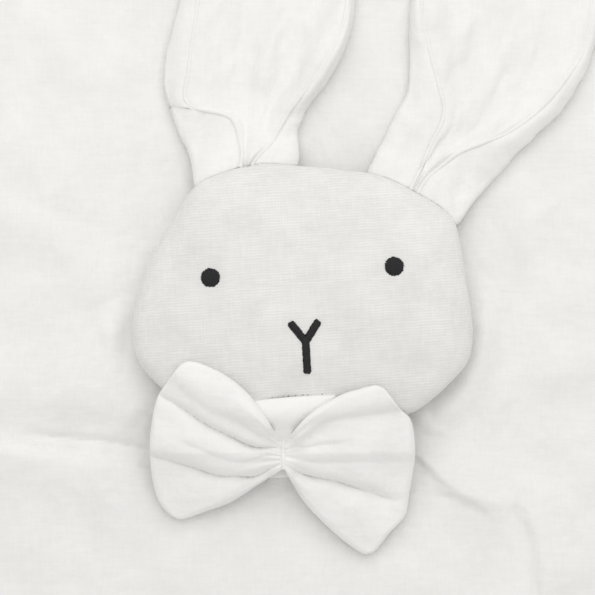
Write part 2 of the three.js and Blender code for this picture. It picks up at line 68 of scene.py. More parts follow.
# Blanket
BLANKET_SIDE = 400 * MM
BLANKET_CELLS = 300
FINE_CELLS_HALF = 105 * MM
FINE_CELLS_RIM = 8 * MM
FINE_CELLS_GAIN = 1.6
FINE_RIM_GAIN = 2
UPPER_CLOTH_LIFT = 1.3 * MM
CORNER_RADIUS = 7 * MM
EDGE_ROUNDING = 2 * MM
EDGE_FADE = 10 * MM
HEM_INSET = 5 * MM
HEM_GROOVE = 0.5 * MM
HEM_GROOVE_WIDTH = 0.9 * MM
STITCH_LENGTH = 2.6 * MM
STITCH_PITCH = 3.4 * MM
STITCH_STEPS = 7
STITCH_ARCH = 1.4
STITCH_SINK = 0.6
THREAD_RADIUS = 0.22 * MM
UNDULATION = 1.7 * MM
UNDULATION_LENGTH = 70 * MM
UNDULATION_SEED = 11
SMALL_UNDULATION = 0.24 * UNDULATION
SMALL_UNDULATION_LENGTH = 24 * MM
SMALL_UNDULATION_SEED = 14
CRINKLE = 0.09 * MM
CRINKLE_LENGTH = 9 * MM
CRINKLE_SEED = 12
FINE_CRINKLE = 0.6 * CRINKLE
FINE_CRINKLE_LENGTH = 4.5 * MM
FINE_CRINKLE_SEED = 13
FOLD_END_RUN = 12 * MM
FOLD_END_SHARE = 0.15
FOLD_END_MOST = 0.35
CREASE_START_RUN = 14 * MM
CREASE_END_RUN = 6 * MM

# Where the head and ears lie on the blanket, or sway over it
SWAY_ACROSS = -2.3 * MM
SWAY_UP = -20 * MM
SWEEP_MIDDLE = math.radians(9)
SWEEP_HALF = math.radians(39)
SWEEP_START = 60 * MM
CALM_CENTRE = (12 * MM, 75 * MM)
CALM_RADIUS = 95 * MM
CALM_STRETCH = 1.35
CALM_FROM = 0.85
CALM_RUN = 0.3
SWEEP_FROM = 0.9
SWEEP_RUN = 0.15

# Head, in its own frame
HEAD_HALF_WIDTH = 56 * MM
HEAD_HEIGHT = 78 * MM
HEAD_CENTRE_UP = 34.5 * MM
HEAD_ACROSS = 6.7 * MM
HEAD_UP = 0.8 * MM
HEAD_TILT = math.radians(3.5)
FACE_CROWN = 13.5 * MM
BACK_DEPTH = 9.5 * MM
FACE_FULLNESS = 0.75
BACK_FULLNESS = 0.5
HEAD_CELLS = 72
SEAM_RADIUS = 0.45 * MM
SEAM_SINK_SHARE = 0.6
FILL_SLACK = 0.8 * MM
FILL_MOST = 1.3 * MM
FILL_FRAMES = 20
FILL_CLOTH = {
    "quality": 6, "mass": 0.15, "tension_stiffness": 12, "compression_stiffness": 12,
    "bending_stiffness": 0.4, "use_pressure": True, "uniform_pressure_force": 4,
}
PUCKER = 0.22 * MM
PUCKER_ARC = 30 * MM
PUCKER_LENGTH = 3.2 * MM
PUCKER_SEED = 21
BACK_PUCKER_SHARE = 0.6
HEAD_WAVE = 0.16 * MM
HEAD_WAVE_LENGTH = 26 * MM
HEAD_WAVE_SEED = 22
LINING_TAPER = 30 * MM
STUFFING_SHARE = 0.975

HEAD_OUTLINE_SHARES = [
    (0, -0.115), (0.36, -0.112), (0.59, -0.09), (0.71, -0.041), (0.835, 0.031), (0.94, 0.11),
    (0.98, 0.2), (0.982, 0.31), (0.963, 0.46), (0.94, 0.63), (0.915, 0.71), (0.84, 0.775),
    (0.725, 0.832), (0.58, 0.895), (0.4375, 0.937), (0.29, 0.955), (0.085, 0.98), (-0.21, 1.005),
    (-0.41, 0.983), (-0.6, 0.928), (-0.705, 0.833), (-0.868, 0.662), (-0.945, 0.545),
    (-1.02, 0.355), (-1.0, 0.205), (-0.877, 0.083), (-0.71, -0.02), (-0.54, -0.083), (-0.32, -0.113),
]

# Embroidery, in the head's frame
SATIN_RADIUS = 0.24 * MM
SATIN_PITCH = 0.34 * MM
EYE_RADIUS = 3.05 * MM
EYES_UP = 41.9 * MM
EYES_ACROSS = {"left": -30.4 * MM, "right": 30.3 * MM}
EYE_CROWN = 0.35 * MM
EYE_RAGGED = (-0.1 * MM, 0.3 * MM)
EYE_STRAY = 0.12 * MM
EYE_TURN = 0.05
EYE_SINK = 0.05 * MM
EYE_SPREAD = 0.97
EYE_SEEDS = {"left": 31, "right": 32}
STROKE_WIDTH = 2.45 * MM
NOSE_CENTRE = -0.4 * MM
NOSE_ARM_REACH = 4.6 * MM
NOSE_ARM_TOP = 25.4 * MM
NOSE_FORK = 18.9 * MM
NOSE_BOTTOM = 8.6 * MM
NOSE_OVERLAP = 0.6 * MM
NOSE_STRAY = 0.08 * MM
NOSE_SINK = 0.04 * MM
NOSE_PITCH = 0.8 * SATIN_PITCH
NOSE_END_SHARE = 0.72
NOSE_SEED = 33
DIMPLE_DEPTH = 0.5 * MM
DIMPLE_RADIUS = 5 * MM

# Each layer of stitches: its lift, the lean of its threads and, for the eyes, its pitch as a share
EYE_LAYERS = [(0.075 * MM, 1.35, 1.1), (0.31 * MM, -0.12, 0.9)]
NOSE_LAYERS = [(0.2 * MM, 0.5), (0.52 * MM, -0.35)]

# Neck, in the head's frame
CHIN_SEAM_UP = 0.3 * MM
NECK_ACROSS = -8.5 * MM
NECK_HALF_WIDTH = 8.5 * MM
NECK_END_UP = -27 * MM
NECK_TUBE_FROM = NECK_END_UP + 4 * MM
NECK_TUBE_TO = -9.6 * MM
NECK_PINCH_UP = -17.5 * MM
NECK_PINCH_TOP = 11.5 * MM
NECK_PINCH_SHARE = 0.1
NECK_PINCH_RUN = 3 * MM
NECK_END_TOP = 8.6 * MM
NECK_SIDE_DROP = 3 * MM
NECK_FOOT_GAP = 0.2 * MM
NECK_FOOT_SHARE = 0.3
NECK_PLEATS = 17
NECK_PLEAT_SHARE = 0.045
NECK_BASE_UP = -20 * MM
NECK_BASE_RADIUS = 13 * MM
NECK_BASE_HEIGHT = 2.4 * MM
NECK_BASE_SPREAD = 0.75
NECK_BASE_PLEATS = 12
NECK_BASE_PLEAT_SHARE = 0.05
NECK_BASE_RIDGE = 0.5 * MM
NECK_BASE_LEAST = 0.12 * MM
PATCH_HALF_WIDTH = 17 * MM
PATCH_END_HALF_WIDTH = 7 * MM
PATCH_ARCH = 0.7 * MM
PATCH_ARCH_ACROSS = 0.3
PATCH_PUFF = 4 * MM
PATCH_BLEND = 1.2 * MM
PATCH_LIFT = 0.25 * MM
PATCH_THICKNESS = 0.7 * MM
PATCH_END_UP = NECK_END_UP + 1 * MM
PATCH_EDGE_SHARE = 0.035
PATCH_SIDE_SHARE = 0.06
PATCH_PUFF_FROM = 0.25
PATCH_EDGE_LIFTS = (0.15 * MM, 0.55 * MM)
PATCH_WAVE = 0.12 * MM
PATCH_WAVE_LENGTH = 5 * MM
PATCH_WAVE_SEED = 41

# Each needle mark at the chin: its place in shares of the patch's half width, and its size
NEEDLE_MARKS = [(-0.24, 0.5), (-0.02, 0.6), (0.08, 1.2), (0.22, 0.8), (0.36, 1.0), (0.46, 0.6), (0.74, 0.8)]
NEEDLE_MARK_RUN = (0.28 * MM, 0.2 * MM)
NEEDLE_MARK_UP = 0.35 * MM
NEEDLE_MARK_LIFT = 0.02 * MM
NEEDLE_MARK_RADIUS = 0.12 * MM

# Bow
BOW_ACROSS = -2.3 * MM
BOW_UP = -17.3 * MM
BOW_REACH = 44 * MM
BOW_RISE = 9.5 * MM
BOW_FALL = 9.5 * MM
BOW_DROOP_RUN = 12 * MM
BOW_SAG = 1.5 * MM
BOW_CLEARANCE = 2.3 * MM
BOW_BLEND = 1.5 * MM
BOW_PINCH_LIFT = 1.6 * MM
BOW_PINCH_SHARE = 0.15
BOW_PUFF = 5.1 * MM
BOW_PUFF_ROUNDNESS = 0.55
BOW_PUFF_FULL_FROM = 0.32
BOW_PUFF_FALL_FROM = 0.62
BOW_PUFF_FALL = 0.55
BOW_UNDER_PUFF = 0.6 * MM
BOW_EDGE_RADIUS = 2 * MM
BOW_RIM_LENGTH = 0.95 * BOW_REACH
BOW_SKIN = CLOTH + 0.25 * MM
BOW_CLOTHS_APART = 0.02 * MM
BOW_CREASE_DEPTH = 0.5 * MM
BOW_CREASE_WIDTH = 0.018
BOW_CREASE_ABOVE = 0.022
BOW_CREASE_BELOW = 0.09
BOW_CREASE_WIGGLE = 0.01
BOW_CREASE_WIGGLE_LENGTH = 16 * MM
BOW_CREASE_SEED = 51
BOW_FAN = 0.3 * MM
BOW_FAN_SPREAD = (9 * MM, 40 * MM)
BOW_FAN_LENGTH = 5 * MM
BOW_FAN_FROM = 0.1
BOW_FAN_RUN = 0.32
BOW_CRINKLE = 0.05 * MM
BOW_CRINKLE_LENGTH = 7 * MM
BOW_WAVE = 0.22 * MM
BOW_WAVE_LENGTH = 13 * MM
BOW_TEXTURE_RIM = 2.5 * MM
BOW_SEEDS = {"left": 60, "right": 70}
BOW_SOFTENING = 60
BOW_CELLS = (90, 110)
GATHER_HALF_WIDTH = 1.2 * MM
GATHER_HEIGHT = 3.8 * MM
GATHER_TOP = 4.4 * MM
GATHER_BOTTOM = -5.6 * MM
GATHER_LIFT = 1.65 * MM
GATHER_WAIST_SHARE = 0.32
GATHER_WAIST_RUN = 2.2 * MM
GATHER_PLEATS = 7
GATHER_PLEAT_SHARE = 0.13

# Ears
EAR_LENGTH = 114 * MM
EAR_HALF_WIDTH = 29 * MM
EAR_CLOTH = 0.8 * CLOTH
EAR_ROOT_HEIGHT = 5 * MM
EAR_ROOT_RUN = 12 * MM
EAR_SEAT_RUN = 15 * MM
EAR_SEAT_GAP = 0.15 * MM
EAR_SEAT_PASSES = 6
EAR_BELOW_SEAM = 0.5 * MM
EAR_REST_GAP = 1.2 * MM
EAR_LEAST_LIFT = 0.35 * MM
EAR_RIM_RADIUS = 0.7 * MM
EAR_RIM_STEPS = 420
EAR_RIM_UNEVEN = 0.14
EAR_RIM_ARC = 0.26
EAR_RIM_WAVE_LENGTH = 9 * MM
EAR_RIM_SEED = 91
EAR_CLOSE_ROWS = (0.14, 0.175)
EAR_SEAT_DEPTH = 0.6 * HEAD_HALF_WIDTH
EAR_FOLD_SHARE = 0.42
EAR_FOLD_BEND = math.radians(115)
EAR_FLAT_TO = 0.35
EAR_BENT_TO = 0.65
EAR_LEAST_TURN = 1 * MM
EAR_GROOVE_SHARE = 0.62
EAR_GROOVE_RUN = 26 * MM
EAR_GROOVE_BLEND = 2.5 * MM
EAR_BULGE_SHARE = 0.22
EAR_WAVE = 0.85 * MM
EAR_WAVE_LENGTH = 15 * MM
EAR_WAVE_STRETCH = 2.6
EAR_CRINKLE = 0.24 * MM
EAR_CRINKLE_LENGTH = 8 * MM
EAR_CRINKLE_STRETCH = 1.8
EAR_PLEAT = 0.7 * MM
EAR_PLEAT_LENGTH = 4.5 * MM
EAR_PLEAT_SLOWNESS = 0.12
EAR_PLEAT_RUN = 16 * MM
EAR_FLAT_HEIGHT = 1.5 * MM
EAR_FOLD_START_RUN = 8 * MM
EAR_FOLD_END_RUN = 14 * MM
EAR_WAVE_START_RUN = 5 * MM
EAR_SIDE_HEIGHT = 2 * MM
EAR_LOWEST_WAVE = -0.3 * MM
EAR_SEEDS = {"left": 81, "right": 82}

# Weave and fibre
COTTON_ROUGHNESS = 0.95
FIBRE_SPECULAR = 0.2
SHEEN_WEIGHT = 0.12
SHEEN_ROUGHNESS = 0.6
THREAD_WAVINESS = 3.0
SLUB_SIZE = 1.1 * MM
SLUB_STRETCH = 0.16
SLUB_RELIEF = 1.7
PATCHY_SIZE = 9 * MM
CLOUD_SIZE = 14 * MM
WEAVE_TONE = 0.9
CLOUD_TONE = 0.8
SLUB_TONE = 0.36
TONE_BASE = 0.43

# Light, floor and camera
LAMP_PLACE = (0.03, 0.41, 0.62)
LAMP_SIZE = 0.8
LAMP_POWER = 2.02
LAMP_COLOUR = (1, 0.997, 0.992)
SKY_COLOUR = (1, 0.995, 0.985)
SKY_STRENGTH = 0.74
BACKDROP_COLOUR = (0.9, 0.9, 0.895)
FLOOR_COLOUR = (0.86, 0.86, 0.855)
FLOOR_DARK = (0.84, 0.84, 0.835)
FLOOR_LIGHT = (0.88, 0.88, 0.875)
FLOOR_CLOUD_SIZE = 0.4
FLOOR_ROUGHNESS = 0.9
FLOOR_HALF = 6.0
VIEW_WIDTH = 198.3 * MM
VIEW_MIDDLE = (2.5 * MM, 34.2 * MM)
CAMERA_DISTANCE = 1.2
CAMERA_NEAR = 0.05
FACE_LEVEL = 10 * MM

blanket_low, blanket_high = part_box("blanket_lower_cloth")
BLANKET_TOP = blanket_high.z + UPPER_CLOTH_LIFT
SEAM_HEIGHT = (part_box("face_panel")[0].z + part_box("head_back_panel")[1].z) / 2


# Numbers and curves

def smooth(share):
    share = np.clip(share, 0, 1)
    return share * share * (3 - 2 * share)


def mix(a, b, share):
    return a + (b - a) * share


def smooth_max(a, b, width):
    return (a + b + np.sqrt((a - b) ** 2 + width ** 2)) / 2


def quarter_circle(share):
    """Rises from 0 to 1 like a quarter of a circle."""
    return np.sqrt(np.clip(1 - (1 - np.clip(share, 0, 1)) ** 2, 0, 1))


def bell(away, width):
    """1 in the middle, and falling away over that width."""
    return np.exp(-(away / width) ** 2)


def circle(count):
    """Angles once round, evenly spaced."""
    return np.linspace(0, 2 * math.pi, count, endpoint=False)


def spots(x, y, z):
    """Points from their coordinates, each of which is an array or a number."""
    return np.stack(np.broadcast_arrays(x, y, z), -1)


def turned(x, y, angle):
    return x * math.cos(angle) - y * math.sin(angle), x * math.sin(angle) + y * math.cos(angle)


def ripples(x, y, length, seed, stretch=1.0, count=28):
    """Smooth random waves of about that length, mostly between -1 and 1, drawn out along y."""
    rng = np.random.default_rng(seed)
    total = np.zeros(np.broadcast(x, y).shape)
    for _ in range(count):
        turn, phase = rng.uniform(0, 2 * math.pi, 2)
        size = length * rng.uniform(0.7, 1.7)
        total += np.sin(2 * math.pi * (x * math.cos(turn) + y * math.sin(turn) / stretch) / size + phase)
    return total / math.sqrt(count)


def crinkle(x, y, length, seed, stretch=1.0):
    """Crumpled cloth: rounded ridges with narrow valleys."""
    return 1 - 1.6 * np.abs(ripples(x, y, length, seed, stretch))


def curve(points, count, closed=False):
    """Evenly spaced points on a centripetal Catmull-Rom curve through the given points."""
    p = np.array(points, float)
    if not closed:
        p = np.concatenate([[2 * p[0] - p[1]], p, [2 * p[-1] - p[-2]]])
        p0, p1, p2, p3 = p[:-3], p[1:-2], p[2:-1], p[3:]
    else:
        p0, p1, p2, p3 = (np.roll(p, k, 0) for k in (1, 0, -1, -2))
    knots = [np.zeros((len(p1), 1))]
    for a, b in ((p0, p1), (p1, p2), (p2, p3)):
        knots.append(knots[-1] + np.sqrt(np.linalg.norm(b - a, axis=1))[:, None])
    t0, t1, t2, t3 = knots
    fine = []
    for share in np.linspace(0, 1, 24, endpoint=False):
        t = mix(t1, t2, share)
        a1 = mix(p0, p1, (t - t0) / (t1 - t0))
        a2 = mix(p1, p2, (t - t1) / (t2 - t1))
        a3 = mix(p2, p3, (t - t2) / (t3 - t2))
        b1 = mix(a1, a2, (t - t0) / (t2 - t0))
        b2 = mix(a2, a3, (t - t1) / (t3 - t1))
        fine.append(mix(b1, b2, (t - t1) / (t2 - t1)))
    line = np.stack(fine, 1).reshape(-1, p.shape[1])
    line = np.concatenate([line, line[:1] if closed else p2[-1:]])
    along = np.concatenate([[0], np.cumsum(np.linalg.norm(np.diff(line, axis=0), axis=1))])
    at = np.linspace(0, along[-1], count)
    return np.stack([np.interp(at, along, line[:, k]) for k in range(p.shape[1])], axis=1)


# Meshes

def piece(name, points, faces, material):
    mesh = bpy.data.meshes.new(name)
    mesh.from_pydata(np.asarray(points).reshape(-1, 3).tolist(), [], faces)
    work = bmesh.new()
    work.from_mesh(mesh)
    bmesh.ops.recalc_face_normals(work, faces=work.faces)
    work.to_mesh(mesh)
    work.free()
    mesh.shade_smooth()
    mesh.materials.append(material)
    made = bpy.data.objects.new(name, mesh)
    bpy.context.scene.collection.objects.link(made)
    return made


def quads(index):
    return np.stack([index[:-1, :-1], index[1:, :-1], index[1:, 1:], index[:-1, 1:]], -1).reshape(-1, 4)


def tube_faces(index):
    """Faces round a tube whose rings are the rows of index, closed at both ends."""
    around = quads(np.concatenate([index, index[:, :1]], axis=1)).tolist()
    return around + [index[0].tolist(), index[-1, ::-1].tolist()]


def tube(name, rings, material):
    rings = np.array(rings)
    index = np.arange(rings.shape[0] * rings.shape[1]).reshape(rings.shape[:2])
    return piece(name, rings, tube_faces(index), material)


def shell(name, top, bottom, material):
    """A thin closed body between two grids of points with the same number of rows and columns."""
    rows, columns = top.shape[:2]
    index = np.arange(rows * columns).reshape(rows, columns)
    rim = np.concatenate([index[0, :-1], index[:-1, -1], index[-1, :0:-1], index[:0:-1, 0]])
    after = np.roll(rim, -1)
    wall = np.stack([rim, after, after + index.size, rim + index.size], -1)
    faces = np.concatenate([quads(index), quads(index + index.size)[:, ::-1], wall])
    points = np.concatenate([top.reshape(-1, 3), bottom.reshape(-1, 3)])
    return piece(name, points, faces.tolist(), material)


def normals(grid):
    across = np.gradient(grid, axis=1)
    along = np.gradient(grid, axis=0)
    out = np.cross(across, along)
    return out / np.maximum(np.linalg.norm(out, axis=2, keepdims=True), 1e-12)


def rings_round(path, radius, sides):
    """Rings of points round one path, or round many that have the same number of points."""
    run = np.gradient(path, axis=-2)
    run /= np.maximum(np.linalg.norm(run, axis=-1, keepdims=True), 1e-12)
    aside = np.cross(run, np.array([0.0, 0.0, 1.0]))
    length = np.linalg.norm(aside, axis=-1, keepdims=True)
    aside = np.where(length > 1e-6, aside / np.maximum(length, 1e-12), np.array([1.0, 0.0, 0.0]))
    over = np.cross(aside, run)
    turn = circle(sides)[:, None]
    around = aside[..., None, :] * np.cos(turn) + over[..., None, :] * np.sin(turn)
    return path[..., None, :] + around * np.broadcast_to(radius, path.shape[:-1])[..., None, None]


def strands(name, paths, radius, material, sides=8, ends=0.45):
    """Threads along paths that all have the same number of points, with rounded ends."""
    paths = np.asarray(paths, float)
    number, steps = paths.shape[:2]
    share = np.linspace(-1, 1, steps)
    width = np.maximum(np.sqrt(np.maximum(1 - np.abs(share) ** 8, 0)), ends) * radius
    index = np.arange(number * steps * sides).reshape(number, steps, sides)
    faces = [face for thread in index for face in tube_faces(thread)]
    return piece(name, rings_round(paths, width, sides), faces, material)


def rope(name, path, radius, material, sides=10, closed=False):
    """A thin roll of cloth along a path."""
    index = np.arange(len(path) * sides).reshape(len(path), sides)
    faces = tube_faces(index)
    if closed:
        index = np.concatenate([index, index[:1]], axis=0)
        faces = quads(np.concatenate([index, index[:, :1]], axis=1)).tolist()
    return piece(name, rings_round(path, radius, sides), faces, material)


def height_over(pieces):
    """A function that gives the height of the highest of the pieces, or of the blanket, in plan."""
    trees = []
    for made in pieces:
        corners = [vertex.co for vertex in made.data.vertices]
        trees.append(BVHTree.FromPolygons(corners, [face.vertices for face in made.data.polygons]))

    def at(x, y):
        x, y = np.broadcast_arrays(x, y)
        out = np.full(x.shape, BLANKET_TOP)
        for place in np.ndindex(x.shape):
            for tree in trees:
                hit = tree.ray_cast((x[place], y[place], 1), (0, 0, -1))[0]
                if hit is not None:
                    out[place] = max(out[place], hit.z)
        return out
    return at


# Materials

def nodes_of(name, colour, roughness):
    """A new material with its node tree and shader, and the places on the piece that wears it."""
    material = bpy.data.materials.new(name)
    material.use_nodes = True
    tree = material.node_tree
    shader = tree.nodes["Principled BSDF"]
    shader.inputs["Base Color"].default_value = (*colour, 1)
    shader.inputs["Roughness"].default_value = roughness
    shader.inputs["Specular IOR Level"].default_value = FIBRE_SPECULAR
    place = tree.nodes.new("ShaderNodeTexCoord").outputs["Object"]
    return material, tree, shader, place


def math_of(tree, operation, a, b):
    made = tree.nodes.new("ShaderNodeMath")
    made.operation = operation
    for target, value in zip(made.inputs, (a, b)):
        if isinstance(value, bpy.types.NodeSocket):
            tree.links.new(value, target)
        else:
            target.default_value = value
    return made.outputs[0]


def weighted(tree, *terms):
    """The sum of values, each times its weight."""
    parts = [math_of(tree, "MULTIPLY", value, weight) for value, weight in terms]
    total = parts[0]
    for part in parts[1:]:
        total = math_of(tree, "ADD", total, part)
    return total


def coloured(tree, shader, value, shade, light, ends=(0, 1)):
    """Gives the shader a colour that goes from shade to light as the value goes between two ends."""
    ramp = tree.nodes.new("ShaderNodeValToRGB")
    for element, position, colour in zip(ramp.color_ramp.elements, ends, (shade, light)):
        element.position = position
        element.color = (*colour, 1)
    tree.links.new(value, ramp.inputs["Fac"])
    tree.links.new(ramp.outputs["Color"], shader.inputs["Base Color"])


def embossed(tree, shader, height, distance=1.0):
    """Gives the shader the relief of a height."""
    bump = tree.nodes.new("ShaderNodeBump")
    bump.inputs["Distance"].default_value = distance
    tree.links.new(height, bump.inputs["Height"])
    tree.links.new(bump.outputs["Normal"], shader.inputs["Normal"])


def threads(tree, place, direction, pitch, waviness):
    """Bands that run across a direction, one to a thread, a little uneven."""
    wave_per_metre = 2 * math.pi / 20
    made = tree.nodes.new("ShaderNodeTexWave")
    made.wave_type = "BANDS"
    made.bands_direction = direction
    made.inputs["Scale"].default_value = wave_per_metre / pitch
    made.inputs["Distortion"].default_value = waviness
    made.inputs["Detail"].default_value = 2
    made.inputs["Detail Scale"].default_value = 1.2
    tree.links.new(place, made.inputs["Vector"])
    return made.outputs["Fac"]


def noise(tree, place, size, detail=2, distortion=0.0):
    made = tree.nodes.new("ShaderNodeTexNoise")
    made.inputs["Scale"].default_value = 1 / size
    made.inputs["Detail"].default_value = detail
    made.inputs["Distortion"].default_value = distortion
    tree.links.new(place, made.inputs["Vector"])
    return made.outputs["Fac"]


def mapped(tree, place, setting, value):
    """Places after a change of their Scale or Rotation."""
    made = tree.nodes.new("ShaderNodeMapping")
    made.inputs[setting].default_value = value
    tree.links.new(place, made.inputs["Vector"])
    return made.outputs["Vector"]


def woven(name, light, shade, pitch, weft_share, relief, crumple, crumple_size, regular, turn=0.0):
    """Plain-woven cotton: warp and weft threads, slubs and crumples, darker between the threads."""
    material, tree, shader, place = nodes_of(name, light, COTTON_ROUGHNESS)
    shader.inputs["Sheen Weight"].default_value = SHEEN_WEIGHT
    shader.inputs["Sheen Roughness"].default_value = SHEEN_ROUGHNESS
    place = mapped(tree, place, "Rotation", (0, 0, -turn))
    warp_slub = noise(tree, mapped(tree, place, "Scale", (1, SLUB_STRETCH, 1)), SLUB_SIZE, 3)
    weft_slub = noise(tree, mapped(tree, place, "Scale", (SLUB_STRETCH, 1, 1)), SLUB_SIZE, 3)
    warp = math_of(tree, "MULTIPLY", threads(tree, place, "X", pitch, THREAD_WAVINESS), warp_slub)
    weft = math_of(tree, "MULTIPLY", threads(tree, place, "Y", pitch, THREAD_WAVINESS), weft_slub)
    patchy = math_of(tree, "MULTIPLY", noise(tree, place, PATCHY_SIZE, 3), 2 * regular)
    weave = math_of(tree, "MULTIPLY", weighted(tree, (warp, 1 - weft_share), (weft, weft_share)), patchy)
    slub = math_of(tree, "ADD", warp_slub, weft_slub)
    soft = noise(tree, place, crumple_size, 5, 0.3)
    height = weighted(tree, (weave, 2 * relief), (soft, crumple), (slub, SLUB_RELIEF * relief))
    embossed(tree, shader, height)
    cloud = noise(tree, place, CLOUD_SIZE, 4)
    tone = weighted(tree, (weave, WEAVE_TONE), (cloud, CLOUD_TONE), (slub, SLUB_TONE))
    coloured(tree, shader, math_of(tree, "SUBTRACT", tone, TONE_BASE), shade, light, (0.15, 0.85))
    return material


def embroidery_thread(name):
    """Black twisted cotton with a faint gloss along each thread."""
    material, tree, shader, place = nodes_of(name, (0.011, 0.011, 0.012), 0.5)
    twist = noise(tree, place, 0.25 * MM, 3)
    coloured(tree, shader, twist, (0.008, 0.008, 0.009), (0.03, 0.03, 0.032))
    embossed(tree, shader, twist, 0.05 * MM)
    return material


def plain(name, light, shade, size, relief, roughness=0.9):
    """A matt fibre with small uneven tufts."""
    material, tree, shader, place = nodes_of(name, light, roughness)
    tuft = noise(tree, place, size, 4, 0.4)
    coloured(tree, shader, tuft, shade, light, (0.3, 0.7))
    embossed(tree, shader, tuft, relief)
    return material


MUSLIN_WEAVE = {"pitch": 0.7 * MM, "weft_share": 0.55, "regular": 0.22}
FINE_WEAVE = {"pitch": 0.93 * MM, "weft_share": 0.72, "regular": 0.75, "turn": HEAD_TILT}
GAUZE = woven("crinkled_muslin", (0.93, 0.926, 0.915), (0.835, 0.829, 0.814),
              relief=0.03 * MM, crumple=0.32 * MM, crumple_size=5 * MM, **MUSLIN_WEAVE)
# The bow's muslin: a lighter copy of the gauze, with painted light that brightens the bow's wings and its
# pinch.
BOW_CLOTH = woven("bow_muslin", (0.948, 0.944, 0.932), (0.862, 0.856, 0.842),
                  relief=0.05 * MM, crumple=0.45 * MM, crumple_size=4.5 * MM, **MUSLIN_WEAVE)
# The chin patch's muslin: a lighter copy of the gauze, with painted light that brightens the patch.
PATCH_PAINTED_LIGHT_MUSLIN = woven("patch_painted_light_muslin", (0.945, 0.942, 0.93), (0.89, 0.884, 0.868),
                 relief=0.025 * MM, crumple=0.12 * MM, crumple_size=5 * MM, **MUSLIN_WEAVE)
FACE_CLOTH = woven("fine_weave", (0.86, 0.854, 0.838), (0.73, 0.722, 0.702),
                   relief=0.03 * MM, crumple=0.14 * MM, crumple_size=6 * MM, **FINE_WEAVE)
BLACK_THREAD = embroidery_thread("black_satin_stitch")
WHITE_THREAD = plain("white_thread", (0.88, 0.875, 0.86), (0.78, 0.77, 0.75), 0.3 * MM, 0.04 * MM, 0.7)
# Painted shade for the needle holes in the chin seam.
NEEDLE_HOLE_SHADE = plain("shadowed_thread", (0.3, 0.29, 0.27), (0.16, 0.155, 0.15), 0.3 * MM, 0.04 * MM)
FIBRE = plain("fibre_filling", (0.9, 0.9, 0.89), (0.8, 0.8, 0.79), 1.6 * MM, 0.8 * MM)


# Blanket

# Each fold: the places along its crest, its height, and its widths towards +y and -y
FOLDS = [
    ([(-190, 6), (-97, 2), (-64, 0), (-44, -6)], 3.8, 20, 10),
    ([(-190, -13), (-97, -17.5), (-80, -20.5), (-58, -22.5), (-44, -22)], 2.8, 2.6, 13),
    ([(42, -5), (47, -8), (51, -12)], 1.8, 6, 4),
    ([(43, -19), (53, -28), (60, -32.5), (72, -34.5)], 3.2, 12, 2),
    ([(72, -34.5), (79, -38), (83, -46), (84, -66)], 3, 13, 2.4),
    ([(30, -51), (40, -58), (56, -68)], 1.7, 4, 9),
    ([(90, 68), (79, 57), (80, 44)], 1.2, 4, 4),
    ([(64, 36), (65, 20), (60, 5), (52, -4), (44, -10)], 3, 5, 5),
    ([(-58, 34), (-60, 18), (-56, 5), (-50, -4)], 3, 5, 5),
    ([(78, 2), (92, 11), (130, 20)], 1.8, 9, 7),
    ([(86, 34), (104, 40), (140, 38)], 1.3, 7, 9),
    ([(-130, 66), (-97, 60), (-76, 52), (-60, 30)], 1.6, 8, 7),
    ([(-104, 92), (-86, 78), (-70, 62)], 1.2, 6, 8),
    ([(-96, 134), (-78, 118), (-64, 104)], 1, 6, 7),
    ([(-24, -80), (-50, -120), (-84, -190)], 3, 13, 14),
    ([(20, -90), (32, -135), (44, -194)], 2.8, 14, 15),
    ([(100, -18), (150, -34), (190, -44)], 2.4, 12, 14),
]


# Each crease: the places along it, its depth and its width
CREASES = [
    ([(-96, -11), (-78, -12.6), (-62, -14), (-46, -17)], 1.5, 1.3),
    ([(-190, -9), (-120, -8), (-96, -11)], 0.6, 2.5),
]


def crease_depth(x, y):
    depth = np.zeros(x.shape)
    for places, deep, wide in CREASES:
        line = curve(np.array(places) * MM, LINE_STEPS)
        away = np.abs(y - np.interp(x, line[:, 0], line[:, 1]))
        start = smooth((x - line[0, 0]) / CREASE_START_RUN)
        end = smooth((line[-1, 0] - x) / CREASE_END_RUN + 0.5)
        depth += deep * MM * start * end * np.exp(-(away / (wide * MM)) ** 1.5)
    return depth


def fold_rise(x, y):
    rise = np.zeros(x.shape)
    for crest, height, above, below in FOLDS:
        line = curve(np.array(crest) * MM, LINE_STEPS)
        ends = min(FOLD_END_MOST, FOLD_END_RUN / np.linalg.norm(line[-1] - line[0]))
        for a, b, share in zip(line[:-1], line[1:], np.linspace(0, 1, LINE_STEPS - 1)):
            run = b - a
            along = np.clip(((x - a[0]) * run[0] + (y - a[1]) * run[1]) / (run @ run), 0, 1)
            dx = x - a[0] - along * run[0]
            dy = y - a[1] - along * run[1]
            width = np.where(dy * abs(run[0]) - dx * run[1] * np.sign(run[0]) > 0, above, below) * MM
            fade = mix(FOLD_END_SHARE, 1, smooth(min(share, 1 - share) / ends))
            rise = np.maximum(rise, fade * height * MM * np.exp(-(dx * dx + dy * dy) / width ** 2))
    return rise - crease_depth(x, y)


